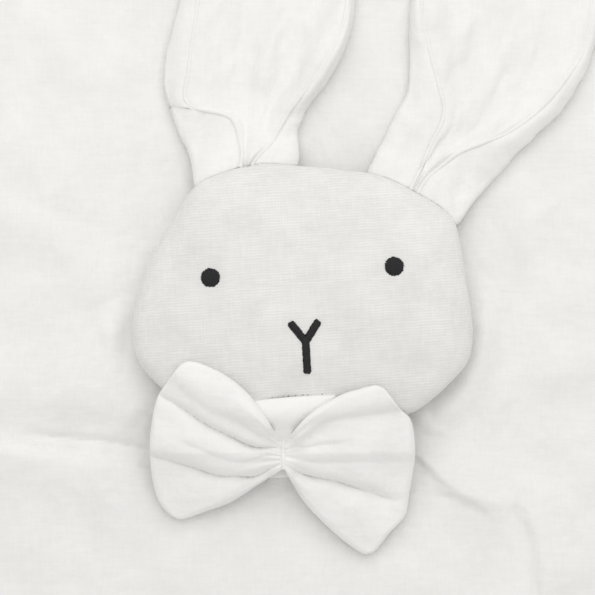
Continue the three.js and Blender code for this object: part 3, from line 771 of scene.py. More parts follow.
def rounded_square(half, cells):
    """Grid places of a square whose corners are rounded, and how far inside its edge each one is."""
    even = np.linspace(-half, half, 2001)
    in_view = FINE_CELLS_GAIN * np.exp(-(even / FINE_CELLS_HALF) ** 6)
    closeness = 1 + in_view + FINE_RIM_GAIN * bell(half - np.abs(even), FINE_CELLS_RIM)
    line = np.interp(np.linspace(0, 1, cells + 1), np.cumsum(closeness) / closeness.sum(), even)
    line[0], line[-1] = -half, half
    x, y = np.meshgrid(line, line)
    dx = np.maximum(np.abs(x) - half + CORNER_RADIUS, 0)
    dy = np.maximum(np.abs(y) - half + CORNER_RADIUS, 0)
    shrink = np.where((dx > 0) & (dy > 0), np.maximum(dx, dy) / np.maximum(np.hypot(dx, dy), 1e-9), 1)
    inside = half - np.maximum(np.abs(line)[:, None], np.abs(line)[None, :])
    return x - np.sign(x) * dx * (1 - shrink), y - np.sign(y) * dy * (1 - shrink), inside


def under_head(x, y):
    """1 where the head and ears lie or sway, 0 away from them."""
    beside = np.hypot(x - CALM_CENTRE[0], (y - CALM_CENTRE[1]) / CALM_STRETCH) / CALM_RADIUS
    swept = np.abs(np.arctan2(x - SWAY_ACROSS, y - SWAY_UP) - SWEEP_MIDDLE) / SWEEP_HALF
    head = 1 - smooth((beside - CALM_FROM) / CALM_RUN)
    ears = (1 - smooth((swept - SWEEP_FROM) / SWEEP_RUN)) * smooth((y - SWAY_UP) / SWEEP_START - 0.5)
    return np.maximum(head, ears)


def blanket_top(x, y):
    """How far the blanket's folds and crinkles rise over its lowest places."""
    calm = under_head(x, y)
    rise = fold_rise(x, y)
    rise += UNDULATION * (1 - calm) * (0.5 + 0.5 * ripples(x, y, UNDULATION_LENGTH, UNDULATION_SEED))
    small = ripples(x, y, SMALL_UNDULATION_LENGTH, SMALL_UNDULATION_SEED)
    rise += SMALL_UNDULATION * (1 - 0.8 * calm) * small
    rise += CRINKLE * crinkle(x, y, CRINKLE_LENGTH, CRINKLE_SEED) * mix(1, 0.55, calm)
    rise += FINE_CRINKLE * ripples(x, y, FINE_CRINKLE_LENGTH, FINE_CRINKLE_SEED)
    return rise


def make_blanket():
    """The blanket's two cloths, which meet at its edge."""
    half = BLANKET_SIDE / 2
    x, y, inside = rounded_square(half, BLANKET_CELLS)
    edge = quarter_circle(inside / EDGE_ROUNDING)
    groove = HEM_GROOVE * bell(inside - HEM_INSET, HEM_GROOVE_WIDTH)
    top = blanket_top(x, y) * smooth(inside / EDGE_FADE) + BLANKET_TOP
    meet = blanket_high.z + GAP
    upper = mix(meet, top - groove, edge)
    under = np.maximum(upper - CLOTH, meet)
    upper_cloth = shell("upper_blanket", spots(x, y, upper), spots(x, y, under), GAUZE)
    floor = mix(blanket_high.z, blanket_low.z, edge)
    lower_cloth = shell("lower_blanket", spots(x, y, blanket_high.z), spots(x, y, floor), GAUZE)
    for made, cad in ((upper_cloth, "blanket_upper_cloth"), (lower_cloth, "blanket_lower_cloth")):
        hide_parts(cad)
        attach(made, "blanket")
    stitches = hem_stitches(half)


def hem_stitches(half):
    """The row of topstitching that holds the turned edge."""
    reach = half - HEM_INSET
    count = int(2 * (reach - CORNER_RADIUS) / STITCH_PITCH)
    arch = 1 - np.linspace(-1, 1, STITCH_STEPS) ** 4
    paths = []
    for side in range(4):
        for k in range(count + 1):
            middle = -reach + CORNER_RADIUS + STITCH_PITCH * (k + 0.5)
            along = middle + STITCH_LENGTH * np.linspace(-0.5, 0.5, STITCH_STEPS)
            x, y = turned(along, np.full(STITCH_STEPS, -reach), side * math.pi / 2)
            z = blanket_top(x, y) * smooth(HEM_INSET / EDGE_FADE) + BLANKET_TOP - HEM_GROOVE
            paths.append(spots(x, y, z + THREAD_RADIUS * (STITCH_ARCH * arch - STITCH_SINK)))
    made = strands("hem_stitches", paths, THREAD_RADIUS, WHITE_THREAD, sides=6)
    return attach(made, "blanket")


# Head

head_outline = curve(np.array(HEAD_OUTLINE_SHARES) * (HEAD_HALF_WIDTH, HEAD_HEIGHT), 721, closed=True)[:-1]
outline_turn = np.arctan2(head_outline[:, 1] - HEAD_CENTRE_UP, head_outline[:, 0])
outline_reach = np.hypot(head_outline[:, 1] - HEAD_CENTRE_UP, head_outline[:, 0])
outline_order = np.argsort(outline_turn)
outline_turn, outline_reach = outline_turn[outline_order], outline_reach[outline_order]


def seam_reach(turn):
    return np.interp(turn, outline_turn, outline_reach, period=2 * math.pi)


def from_head(x, y):
    """A place in the head's frame, in the row frame."""
    x, y = turned(x, y, HEAD_TILT)
    return x + HEAD_ACROSS, y + HEAD_UP


def dome_height(x, y):
    """Height of the face at a place in the head's frame, before its cloth is filled."""
    up = y - HEAD_CENTRE_UP
    share = np.hypot(x, up) / seam_reach(np.arctan2(up, x))
    inside = np.clip(1 - share ** 2, 0, 1) ** (FACE_FULLNESS / 2)
    return np.where(share < 1, SEAM_HEIGHT + FACE_CROWN * inside, BLANKET_TOP)


def head_places():
    """Places over the head in its own frame, close together near the seam, and their slope shares."""
    line = np.linspace(-1, 1, HEAD_CELLS + 1)
    a, b = np.meshgrid(line, line)
    u, v = a * np.sqrt(1 - b * b / 2), b * np.sqrt(1 - a * a / 2)
    slope = np.clip(np.hypot(u, v), 0, 1)
    turn = np.arctan2(v, u)
    reach = np.sin(slope * math.pi / 2) * seam_reach(turn)
    return reach * np.cos(turn), HEAD_CENTRE_UP + reach * np.sin(turn), slope


def head_side(rise, fullness):
    """The face or the back of the head, swollen from its seam by a rise."""
    x, y, slope = head_places()
    z = SEAM_HEIGHT + rise * np.clip(np.cos(slope * math.pi / 2), 0, 1) ** fullness
    return spots(*from_head(x, y), z)


def filled(front, back):
    """Both sides of a pillow after its cloth is blown up a little with its seam held."""
    rows, columns = front.shape[:2]
    edges = (np.s_[0], np.s_[-1], np.s_[:, 0], np.s_[:, -1])
    index = np.arange(rows * columns).reshape(rows, columns)
    other = index + index.size
    for edge in edges:
        other[edge] = index[edge]
    points = np.concatenate([front.reshape(-1, 3), back.reshape(-1, 3)])
    faces = np.concatenate([quads(index), quads(other)[:, ::-1]])
    used, faces = np.unique(faces, return_inverse=True)
    pillow = piece("pillow", points[used], faces.reshape(-1, 4).tolist(), GAUZE)
    held = pillow.vertex_groups.new(name="seam")
    rim = np.concatenate([index[edge] for edge in edges])
    held.add(np.searchsorted(used, np.unique(rim)).tolist(), 1, "REPLACE")
    cloth = pillow.modifiers.new("cloth", "CLOTH")
    for setting, value in FILL_CLOTH.items():
        setattr(cloth.settings, setting, value)
    cloth.settings.vertex_group_mass = "seam"
    cloth.settings.effector_weights.gravity = 0
    cloth.point_cache.frame_start, cloth.point_cache.frame_end = 1, FILL_FRAMES
    for step in range(1, FILL_FRAMES + 1):
        bpy.context.scene.frame_set(step)
    shape = pillow.evaluated_get(bpy.context.evaluated_depsgraph_get()).data
    moved = np.zeros(len(shape.vertices) * 3)
    shape.vertices.foreach_get("co", moved)
    move = moved.reshape(-1, 3) - points[used]
    far = np.linalg.norm(move, axis=1, keepdims=True)
    move *= np.minimum(1, FILL_MOST / np.maximum(far, 1e-9))
    points[used] += move
    bpy.context.scene.frame_set(1)
    bpy.data.objects.remove(pillow)
    both = points.reshape(2, rows, columns, 3)
    for edge in edges:
        both[1][edge] = both[0][edge]
    return both[0], both[1]


def make_head():
    """The face, the back and the filling of the head, and the seam between face and back."""
    front = head_side(FACE_CROWN - FILL_SLACK, FACE_FULLNESS)
    back = head_side(FILL_SLACK - BACK_DEPTH, BACK_FULLNESS)
    front, back = filled(front, back)
    x, y, slope = head_places()
    turn = np.arctan2(y - HEAD_CENTRE_UP, x)
    near_seam = slope ** 10 * (1 - slope ** 30)
    pucker = PUCKER * near_seam * ripples(turn * PUCKER_ARC, turn * 0, PUCKER_LENGTH, PUCKER_SEED)
    soft = HEAD_WAVE * ripples(x, y, HEAD_WAVE_LENGTH, HEAD_WAVE_SEED) * (1 - slope ** 6)
    front += normals(front) * (pucker + soft)[:, :, None] * np.sign(normals(front)[:, :, 2:3])
    back = back - spots(0, 0, BACK_PUCKER_SHARE * pucker)
    back[:, :, 2] = np.maximum(back[:, :, 2], SEAM_HEIGHT - BACK_DEPTH)
    dimples = [(across, EYES_UP) for across in EYES_ACROSS.values()] + [(NOSE_CENTRE, NOSE_FORK)]
    for across, up in dimples:
        front[:, :, 2] -= DIMPLE_DEPTH * bell(np.hypot(x - across, y - up), DIMPLE_RADIUS)
    middle = np.array([*from_head(0, HEAD_CENTRE_UP), SEAM_HEIGHT])
    inner_share = 1 - CLOTH / LINING_TAPER
    apart = (0, 0, GAP / 2)

    def inside(outer, side):
        lining = middle + (outer - middle) * (inner_share, inner_share, 1)
        lining[:, :, 2] -= side * np.minimum(CLOTH, np.abs(outer[:, :, 2] - SEAM_HEIGHT))
        return lining

    face = shell("face_cloth", front + apart, inside(front, 1) + apart, FACE_CLOTH)
    rear = shell("head_back_cloth", back - apart, inside(back, -1) - apart, GAUZE)
    stuffing = shell("head_stuffing", middle + (inside(front, 1) - middle) * STUFFING_SHARE,
                     middle + (inside(back, -1) - middle) * STUFFING_SHARE, FIBRE)
    line = spots(*from_head(head_outline[:, 0], head_outline[:, 1]), SEAM_HEIGHT)
    toward = (middle - line) * (1, 1, 0)
    line += toward / np.linalg.norm(toward, axis=1, keepdims=True) * SEAM_RADIUS * SEAM_SINK_SHARE
    seam = rope("head_seam", line[::2], SEAM_RADIUS, GAUZE, closed=True)
    for made, cad, slot in ((face, "face_panel", "face_cloth"), (rear, "head_back_panel", "gauze"),
                            (stuffing, "head_filling", "filling"), (seam, None, "gauze")):
        if cad:
            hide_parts(cad)
        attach(made, "head")
    return face


# Embroidery

def on_face(over_face, x, y):
    """Points on the face at places in the head's frame."""
    x, y = from_head(np.asarray(x, float), np.asarray(y, float))
    return spots(x, y, over_face(x, y))


def make_eye(side, over_face):
    """Satin stitch: upright threads laid side by side, ragged at their ends."""
    rng = np.random.default_rng(EYE_SEEDS[side])
    middle = EYES_ACROSS[side]
    share = np.linspace(-1, 1, 9)
    paths = []
    for lift, lean, pitch in EYE_LAYERS:
        count = int(2 * EYE_RADIUS / (SATIN_PITCH * pitch))
        for k in range(count):
            aside = EYE_RADIUS * (2 * (k + 0.5) / count - 1) * EYE_SPREAD
            half = math.sqrt(max(EYE_RADIUS ** 2 - aside ** 2, 0)) + rng.uniform(*EYE_RAGGED)
            bow = aside + EYE_STRAY * rng.uniform(-1, 1) * share
            along = share * half + rng.uniform(-EYE_STRAY, EYE_STRAY)
            x, y = turned(bow, along, lean + rng.uniform(-EYE_TURN, EYE_TURN))
            path = on_face(over_face, middle + x, EYES_UP + y)
            crown = (1 - (aside / EYE_RADIUS) ** 2) * EYE_CROWN
            path[:, 2] += (1 - np.abs(share) ** 3) * (lift + crown) - EYE_SINK
            paths.append(path)
    made = strands(f"{side}_eye_stitches", paths, SATIN_RADIUS, BLACK_THREAD)
    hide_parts(f"{side}_eye")
    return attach(made, "head")


def make_nose(over_face):
    """Y-shaped satin stitch: short threads across each arm."""
    rng = np.random.default_rng(NOSE_SEED)
    fork = (NOSE_CENTRE, NOSE_FORK)
    left = [(NOSE_CENTRE - NOSE_ARM_REACH, NOSE_ARM_TOP), fork]
    right = [(NOSE_CENTRE + NOSE_ARM_REACH, NOSE_ARM_TOP), fork]
    stem = [(NOSE_CENTRE, NOSE_FORK + NOSE_OVERLAP), (NOSE_CENTRE, NOSE_BOTTOM)]
    share = np.linspace(-1, 1, 7)[:, None]
    paths = []
    for arm in (left, right, stem):
        length = math.dist(*arm)
        count = int(length / NOSE_PITCH)
        run = (np.array(arm[1]) - arm[0]) / length
        across = np.array([-run[1], run[0]])
        for lift, slant in NOSE_LAYERS:
            for k in range(count + 1):
                middle = np.array(arm[0]) + run * length * k / count
                from_end = count - k if arm is stem else k
                breadth = mix(NOSE_END_SHARE, 1, min(from_end, 2) / 2) * (0.92 + 0.2 * rng.random())
                stray = rng.uniform(-NOSE_STRAY, NOSE_STRAY, 2)
                line = middle + share * STROKE_WIDTH / 2 * breadth * (across + slant * run * 0.5) + stray
                path = on_face(over_face, line[:, 0], line[:, 1])
                path[:, 2] += (1 - np.abs(share[:, 0]) ** 3) * lift - NOSE_SINK
                paths.append(path)
    made = strands("nose_stitches", paths, SATIN_RADIUS, BLACK_THREAD)
    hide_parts("nose_mouth")
    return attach(made, "head")


# Neck

def neck_height(x, y):
    """Top of the neck at a place in the head's frame."""
    chin = dome_height(np.array(NECK_ACROSS), np.array(CHIN_SEAM_UP))
    above = np.clip((y - NECK_PINCH_UP) / (CHIN_SEAM_UP - NECK_PINCH_UP), 0, 1)
    below = np.clip((y - NECK_END_UP) / (NECK_PINCH_UP - NECK_END_UP), 0, 1)
    to_chin = mix(NECK_PINCH_TOP, chin, above)
    to_end = mix(NECK_END_TOP, NECK_PINCH_TOP, below)
    middle = np.where(y > NECK_PINCH_UP, to_chin, to_end)
    return middle - NECK_SIDE_DROP * ((x - NECK_ACROSS) / NECK_HALF_WIDTH) ** 2


def neck_end():
    x, y = from_head(NECK_ACROSS, NECK_END_UP)
    return x, y, BLANKET_TOP + NECK_BASE_HEIGHT


def make_neck():
    """The gathered tube of cloth from the blanket to the head."""
    foot = BLANKET_TOP + NECK_BASE_HEIGHT + NECK_FOOT_GAP
    turn = circle(72)
    folds = np.cos(NECK_PLEATS * turn + 1.2 * np.sin(3 * turn))
    rings = []
    for share in np.linspace(0, 1, 40):
        y = mix(NECK_TUBE_FROM, NECK_TUBE_TO, share)
        half_height = (float(neck_height(np.array(NECK_ACROSS), np.array(y))) - foot) / 2
        pinch = 1 - NECK_PINCH_SHARE * bell(y - NECK_PINCH_UP, NECK_PINCH_RUN)
        end = mix(NECK_FOOT_SHARE, 1, quarter_circle(share / NECK_FOOT_SHARE))
        pleat = 1 + NECK_PLEAT_SHARE * folds * (0.4 + 0.6 * pinch)
        x = NECK_ACROSS + NECK_HALF_WIDTH * np.cos(turn) * pleat * pinch * end
        z = foot + half_height + half_height * np.sin(turn) * pleat * end
        rings.append(spots(*from_head(x, y), z))
    made = tube("neck_tube", rings, GAUZE)
    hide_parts("neck")
    x, y, z = neck_end()
    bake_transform(made)


def make_neck_base():
    """The gathers of the neck where it is sewn to the blanket."""
    reach = np.linspace(0.16, 1, 22)[:, None]
    turn = np.append(circle(144), 0)[None, :]
    pleat = 1 + NECK_BASE_PLEAT_SHARE * np.cos(NECK_BASE_PLEATS * turn) * reach
    ridges = NECK_BASE_RIDGE * np.cos(2 * NECK_BASE_PLEATS * turn + 2) * reach * (1 - reach)
    height = NECK_BASE_HEIGHT * (1 - smooth((reach - 0.3) / 0.7)) + ridges
    radius = NECK_BASE_RADIUS * NECK_BASE_SPREAD * reach * pleat
    x = BOW_ACROSS + radius * np.cos(turn)
    y = NECK_BASE_UP + radius * np.sin(turn)
    bottom = spots(x, y, BLANKET_TOP + GAP)
    top = bottom + spots(0, 0, np.maximum(height, NECK_BASE_LEAST))
    gathers = shell("neck_gathers", top, bottom, GAUZE)
    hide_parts("neck_base")
    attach(gathers, "neck_base")


def chin_arch(across):
    """How far the chin seam rises over its ends, at a place across the patch."""
    return PATCH_ARCH * (1 - (across - PATCH_ARCH_ACROSS) ** 2)


def make_patch(over_face):
    """The cloth from the chin seam down under the bow, made bright with painted light."""
    up, across = np.meshgrid(np.linspace(0, 1, 46), np.linspace(-1, 1, 50), indexing="ij")
    x = NECK_ACROSS + mix(PATCH_END_HALF_WIDTH, PATCH_HALF_WIDTH, up) * across
    y = mix(PATCH_END_UP, CHIN_SEAM_UP, up) + up * chin_arch(across)
    wx, wy = from_head(x, y)
    under = smooth_max(over_face(wx, wy), neck_height(x, y), PATCH_BLEND)
    edge = quarter_circle((1 - up) / PATCH_EDGE_SHARE)
    side = np.clip((1 - np.abs(across)) / PATCH_SIDE_SHARE, 0, 1)
    lift = mix(*PATCH_EDGE_LIFTS, edge) * mix(0.4, 1, side)
    lift += PATCH_WAVE * ripples(wx, wy, PATCH_WAVE_LENGTH, PATCH_WAVE_SEED) * up * edge
    rise = np.clip((up - PATCH_PUFF_FROM) / (1 - PATCH_PUFF_FROM), 0, 1)
    puff = np.sin(math.pi * rise ** 1.5)
    lift += PATCH_PUFF * puff * (1 - 0.6 * across ** 2)
    top = spots(wx, wy, under + lift + PATCH_LIFT)
    patch = shell("chin_patch", top, top - (0, 0, PATCH_THICKNESS), PATCH_PAINTED_LIGHT_MUSLIN)
    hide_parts("neck_front_cloth")
    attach(patch, "head")
    return patch


def make_needle_marks(over_face):
    """Short dark strands in the chin seam: painted shade in the needle holes."""
    marks = []
    for place, size in NEEDLE_MARKS:
        along = size * np.linspace(-1, 1, 5)
        x = NECK_ACROSS + PATCH_HALF_WIDTH * place + NEEDLE_MARK_RUN[0] * along
        y = CHIN_SEAM_UP + chin_arch(place) + NEEDLE_MARK_UP + NEEDLE_MARK_RUN[1] * along
        marks.append(on_face(over_face, x, y) + (0, 0, NEEDLE_MARK_LIFT))
    made = strands("chin_needle_marks", marks, NEEDLE_MARK_RADIUS, NEEDLE_HOLE_SHADE, sides=6)
    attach(made, "head")


# Bow

# Edges in shares of the reach. Each crease: its places (out from the pinch, up from the lower edge),
# its depth and how far out it goes
BOW_WINGS = [
    {
        "side": "left",
        "top": [(-0.012, 0.085), (-0.145, 0.3), (-0.25, 0.44), (-0.37, 0.55), (-0.545, 0.65),
                (-0.705, 0.695), (-0.77, 0.665), (-0.82, 0.6)],
        "outer": [(-0.82, -0.505), (-0.88, -0.465), (-0.94, -0.39), (-0.985, -0.26), (-1.01, -0.045),
                  (-1, 0.17), (-0.95, 0.41), (-0.875, 0.53), (-0.82, 0.6)],
        "bottom": [(-0.012, -0.13), (-0.22, -0.27), (-0.4, -0.386), (-0.585, -0.455), (-0.74, -0.51),
                   (-0.785, -0.515), (-0.82, -0.505)],
        "creases": [
            ([(0, 0.72), (0.22, 0.545), (0.46, 0.565), (0.72, 0.66), (1, 0.84)], 0.85, 1.0),
            ([(0, 0.2), (0.22, 0.13), (0.42, 0.22), (0.63, 0.29), (0.82, 0.37), (1, 0.45)], 1.0, 1.1),
            ([(0, 0.5), (0.3, 0.34), (0.6, 0.42), (0.85, 0.53)], 0.2, 0.7),
        ],
    },
    {
        "side": "right",
        "top": [(0.012, 0.085), (0.2, 0.3), (0.43, 0.44), (0.58, 0.49), (0.7, 0.515), (0.76, 0.49)],
        "outer": [(0.69, -0.765), (0.74, -0.71), (0.81, -0.62), (0.93, -0.486), (0.96, -0.32),
                  (0.99, -0.136), (1, 0.045), (0.96, 0.257), (0.886, 0.33), (0.81, 0.43), (0.76, 0.49)],
        "bottom": [(0.012, -0.13), (0.143, -0.36), (0.28, -0.516), (0.445, -0.668), (0.58, -0.765),
                   (0.63, -0.782), (0.69, -0.765)],
        "creases": [
            ([(0, 0.25), (0.13, 0.27), (0.3, 0.31), (0.63, 0.34), (0.95, 0.36)], 0.9, 0.8),
            ([(0, 0.8), (0.17, 0.66), (0.36, 0.645), (0.5, 0.66)], 0.2, 0.4),
            ([(0.2, 0.45), (0.5, 0.5), (0.95, 0.56)], 0.16, 0.85),
        ],
    },
]


def wing_plan(wing, out, up):
    """Places of a wing in the bow's frame, filled in between its four edges."""
    steps = 200
    line = np.linspace(0, 1, steps)
    edges = {name: curve(np.array(wing[name]) * BOW_REACH, steps) for name in ("top", "outer", "bottom")}

    def at(name, share):
        return np.stack([np.interp(share, line, edges[name][:, k]) for k in (0, 1)], -1)

    top, bottom, outer = at("top", out), at("bottom", out), at("outer", up)
    first_low, first_high = edges["bottom"][0], edges["top"][0]
    last_low, last_high = edges["bottom"][-1], edges["top"][-1]
    up3, out3 = up[..., None], out[..., None]
    root = mix(first_low, first_high, up3)
    corners = mix(root, mix(last_low, last_high, up3), out3)
    return mix(bottom, top, up3) + mix(root, outer, out3) - corners


def softened(grid, passes):
    """A grid of heights after each place has taken its neighbours' mean that many times."""
    for _ in range(passes):
        wide = np.pad(grid, 1, mode="edge")
        grid = (wide[:-2, 1:-1] + wide[2:, 1:-1] + wide[1:-1, :-2] + wide[1:-1, 2:]) / 4
    return grid


def wing_creases(wing, out, up):
    """What the creases leave of a wing's puff, and how deep their grooves are."""
    front = np.ones(up.shape)
    groove = np.zeros(up.shape)
    for k, (route, depth, fade) in enumerate(wing["creases"]):
        line = curve(route, 60)
        wiggle = ripples(out * BOW_REACH, out * 0, BOW_CREASE_WIGGLE_LENGTH, BOW_CREASE_SEED + k)
        away = up - np.interp(out, line[:, 0], line[:, 1]) - BOW_CREASE_WIGGLE * wiggle
        strength = depth * smooth((out - route[0][0]) / 0.06 + 0.3) * smooth((fade + 0.2 - out) / 0.2)
        cut = np.where(away > 0, np.exp(-away / BOW_CREASE_ABOVE), np.exp(away / BOW_CREASE_BELOW))
        front *= 1 - strength * cut
        groove += BOW_CREASE_DEPTH * strength * np.exp(-np.abs(away) / BOW_CREASE_WIDTH)
    return front, groove


def wing_middle(x, y, out, under):
    """Height of the layer between the two cloths of a wing."""
    pinch = NECK_PINCH_TOP + BOW_PINCH_LIFT + GATHER_HEIGHT / 2
    droop = BOW_FALL * (1 - np.exp(np.minimum(y, 0) / BOW_DROOP_RUN)) + BOW_SAG * (x / BOW_REACH) ** 2
    slant = pinch - droop + BOW_RISE * np.maximum(y, 0) / BOW_REACH
    return mix(pinch, smooth_max(slant, under + BOW_CLEARANCE, BOW_BLEND), smooth(out / BOW_PINCH_SHARE))


def make_wing(wing, over):
    """One side of the bow: a front and a back cloth, puffed up between its creases."""
    side = wing["side"]
    out, up = np.meshgrid(*(np.linspace(0, 1, count) for count in BOW_CELLS), indexing="ij")
    up = mix(up, (1 - np.cos(math.pi * up)) / 2, 0.5)
    out = mix(out, np.sin(out * math.pi / 2), 0.35)
    place = wing_plan(wing, out, up)
    x, y = place[..., 0], place[..., 1]
    wx, wy = x + BOW_ACROSS, y + BOW_UP
    middle = wing_middle(x, y, out, softened(over(wx, wy), BOW_SOFTENING))

    span = wing_plan(wing, out, np.ones(up.shape)) - wing_plan(wing, out, np.zeros(up.shape))
    height = np.linalg.norm(span, axis=-1)
    to_rim = np.minimum(np.minimum(up, 1 - up) * height, (1 - out) * BOW_RIM_LENGTH)
    rounding = quarter_circle(to_rim / BOW_EDGE_RADIUS)
    body = np.sin(math.pi * np.clip(up, 0, 1)) ** BOW_PUFF_ROUNDNESS * smooth(out / BOW_PUFF_FULL_FROM)
    body *= 1 - BOW_PUFF_FALL * smooth((out - BOW_PUFF_FALL_FROM) / (1 - BOW_PUFF_FALL_FROM))
    front, groove = wing_creases(wing, out, up)
    seed = BOW_SEEDS[side]
    pleats = ripples(up * BOW_FAN_SPREAD[1], out * BOW_FAN_SPREAD[0], BOW_FAN_LENGTH, seed)
    fan = BOW_FAN * pleats * bell(out - BOW_FAN_FROM, BOW_FAN_RUN)
    crumple = BOW_CRINKLE * crinkle(wx, wy, BOW_CRINKLE_LENGTH, seed + 1)
    crumple += BOW_WAVE * ripples(wx, wy, BOW_WAVE_LENGTH, seed + 2)
    texture = (fan + crumple - groove) * smooth(to_rim / BOW_TEXTURE_RIM)
    top = middle + rounding * (BOW_SKIN + BOW_PUFF * body * front + texture)
    inner = np.maximum(top - CLOTH, middle + BOW_CLOTHS_APART)
    low = middle - rounding * (BOW_SKIN + BOW_UNDER_PUFF * body - 0.5 * texture)
    low_inner = np.minimum(low + CLOTH, middle - BOW_CLOTHS_APART)
    grids = [spots(wx, wy, z) for z in (top, inner, low_inner, low)]
    front_cloth = shell(f"bow_{side}_front_cloth", grids[0], grids[1], BOW_CLOTH)
    back_cloth = shell(f"bow_{side}_back_cloth", grids[2], grids[3], BOW_CLOTH)
    for made, part in ((front_cloth, "front"), (back_cloth, "back")):
        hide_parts(f"bow_{side}_{part}")
        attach(made, f"bow_{side}")
        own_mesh(made)


def make_gather():
    """The pleated cloth that the bow is pinched to in its middle."""
    turn = circle(48)
    centre = NECK_PINCH_TOP + GATHER_HEIGHT / 2 + GATHER_LIFT
    rings = []
    for share in np.linspace(0, 1, 40):
        y = mix(GATHER_BOTTOM, GATHER_TOP, share)
        full = math.sqrt(1 - (2 * share - 1) ** 2 * 0.75)
        waist = 1 - GATHER_WAIST_SHARE * bell(y, GATHER_WAIST_RUN)
        pleat = 1 + GATHER_PLEAT_SHARE * np.cos(GATHER_PLEATS * turn + 0.6 * math.sin(9 * share))
        x = BOW_ACROSS + GATHER_HALF_WIDTH * full * np.cos(turn) * pleat
        z = centre + GATHER_HEIGHT / 2 * full * waist * np.sin(turn) * pleat
        rings.append(spots(x, BOW_UP + y, z))
    made = tube("bow_pinch", rings, BOW_CLOTH)
    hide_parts("bow_gather")
    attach(made, "head")


# Ears

# Rows from root to tip: share of the length, then for each side the lining's turn-up, the outermost
# place and the rim in shares of the half width, and the rim's height in shares of the root's.
# Each fold: its places in shares of length and half width, and its height and width in millimetres
EARS = [
    {
        "side": "left", "root": (-0.304, 0.999), "lean": math.radians(10.5),
        "rows": [
            (-0.07, (0.0, 0.54, 0.04, 1.0), (0.0, 0.6, 0.05, 1.0)),
            (0.0, (0.0, 0.62, 0.05, 1.0), (0.0, 0.6, 0.06, 1.0)),
            (0.04, (0.0, 0.67, 0.05, 0.95), (0.0, 0.6, 0.14, 1.0)),
            (0.08, (0.02, 0.78, 0.1, 0.97), (0.03, 0.56, 0.26, 0.95)),
            (0.13, (0.06, 0.93, 0.18, 1.0), (0.1, 0.54, 0.34, 1.0)),
            (0.148, (0.1, 0.97, 0.32, 1.0), (0.14, 0.562, 0.372, 1.05)),
            (0.152, (0.11, 0.98, 0.5, 1.0), (0.149, 0.566, 0.38, 1.06)),
            (0.156, (0.12, 0.99, 0.65, 1.0), (0.158, 0.571, 0.387, 1.07)),
            (0.168, (0.15, 1.015, 0.75, 1.0), (0.184, 0.586, 0.408, 1.1)),
            (0.19, (0.2, 1.05, 0.79, 1.0), (0.235, 0.615, 0.45, 1.3)),
            (0.245, (0.3, 1.07, 0.78, 1.0), (0.36, 0.75, 0.58, 1.6)),
            (0.33, (0.36, 1.06, 0.78, 1.0), (0.48, 0.89, 0.76, 1.8)),
            (0.42, (0.4, 0.99, 0.77, 1.0), (0.6, 0.97, 0.9, 1.7)),
            (0.52, (0.44, 0.96, 0.78, 1.0), (0.7, 1.02, 0.94, 1.4)),
            (0.66, (0.62, 0.95, 0.82, 0.95), (0.7, 0.97, 0.9, 0.94)),
            (0.8, (0.54, 0.82, 0.73, 0.8), (0.58, 0.83, 0.76, 0.8)),
            (0.9, (0.38, 0.6, 0.53, 0.55), (0.4, 0.61, 0.55, 0.55)),
            (0.965, (0.22, 0.37, 0.32, 0.4), (0.22, 0.37, 0.32, 0.4)),
            (1.0, (0.06, 0.14, 0.11, 0.35), (0.06, 0.14, 0.11, 0.35)),
        ],
        "folds": [([(0.18, -0.35), (0.3, -0.3), (0.5, -0.36), (0.7, -0.3)], 1.3, 2.2),
                  ([(0.2, 0.02), (0.4, 0.12), (0.65, 0.1)], 1.0, 3.0),
                  ([(0.3, -0.1), (0.45, -0.12), (0.8, -0.05)], 0.8, 2.4)],
    },
    {
        "side": "right", "root": (0.689, 0.854), "lean": math.radians(27.5),
        "rows": [
            (-0.07, (0.0, 0.56, 0.04, 1.0), (0.0, 0.58, 0.05, 1.0)),
            (0.0, (0.0, 0.56, 0.04, 1.0), (0.0, 0.63, 0.05, 1.0)),
            (0.05, (0.0, 0.55, 0.03, 1.0), (0.0, 0.68, 0.08, 0.94)),
            (0.1, (0.0, 0.54, 0.03, 0.96), (0.06, 0.76, 0.17, 0.97)),
            (0.155, (-0.06, 0.54, 0.03, 1.0), (0.16, 0.84, 0.29, 1.1)),
            (0.212, (-0.15, 0.54, 0.02, 1.02), (0.32, 0.9, 0.5, 1.2)),
            (0.257, (-0.15, 0.55, 0.06, 1.02), (0.47, 0.96, 0.68, 1.3)),
            (0.33, (-0.05, 0.62, 0.28, 1.02), (0.6, 1.07, 0.87, 1.35)),
            (0.41, (0.15, 0.75, 0.53, 1.02), (0.68, 1.2, 1.0, 1.3)),
            (0.5, (0.38, 0.92, 0.77, 1.0), (0.75, 1.26, 1.09, 1.15)),
            (0.57, (0.58, 0.97, 0.85, 0.99), (0.74, 1.25, 1.13, 0.97)),
            (0.68, (0.6, 0.93, 0.84, 0.94), (0.72, 1.15, 1.04, 0.94)),
            (0.8, (0.54, 0.81, 0.73, 0.8), (0.6, 0.92, 0.84, 0.8)),
            (0.9, (0.38, 0.6, 0.53, 0.55), (0.42, 0.68, 0.61, 0.55)),
            (0.965, (0.22, 0.37, 0.32, 0.4), (0.24, 0.41, 0.36, 0.4)),
            (1.0, (0.06, 0.14, 0.11, 0.35), (0.07, 0.18, 0.14, 0.35)),
        ],
        "folds": [([(0.12, 0.2), (0.24, 0.1), (0.3, 0.02), (0.38, -0.05), (0.48, -0.18),
                    (0.6, -0.35)], 1.7, 2.6),
                  ([(0.2, 0.3), (0.3, 0.34), (0.42, 0.3), (0.6, 0.2)], 1.2, 2.4),
                  ([(0.35, 0.6), (0.5, 0.55), (0.8, 0.35)], 0.9, 3.0)],
    },
]


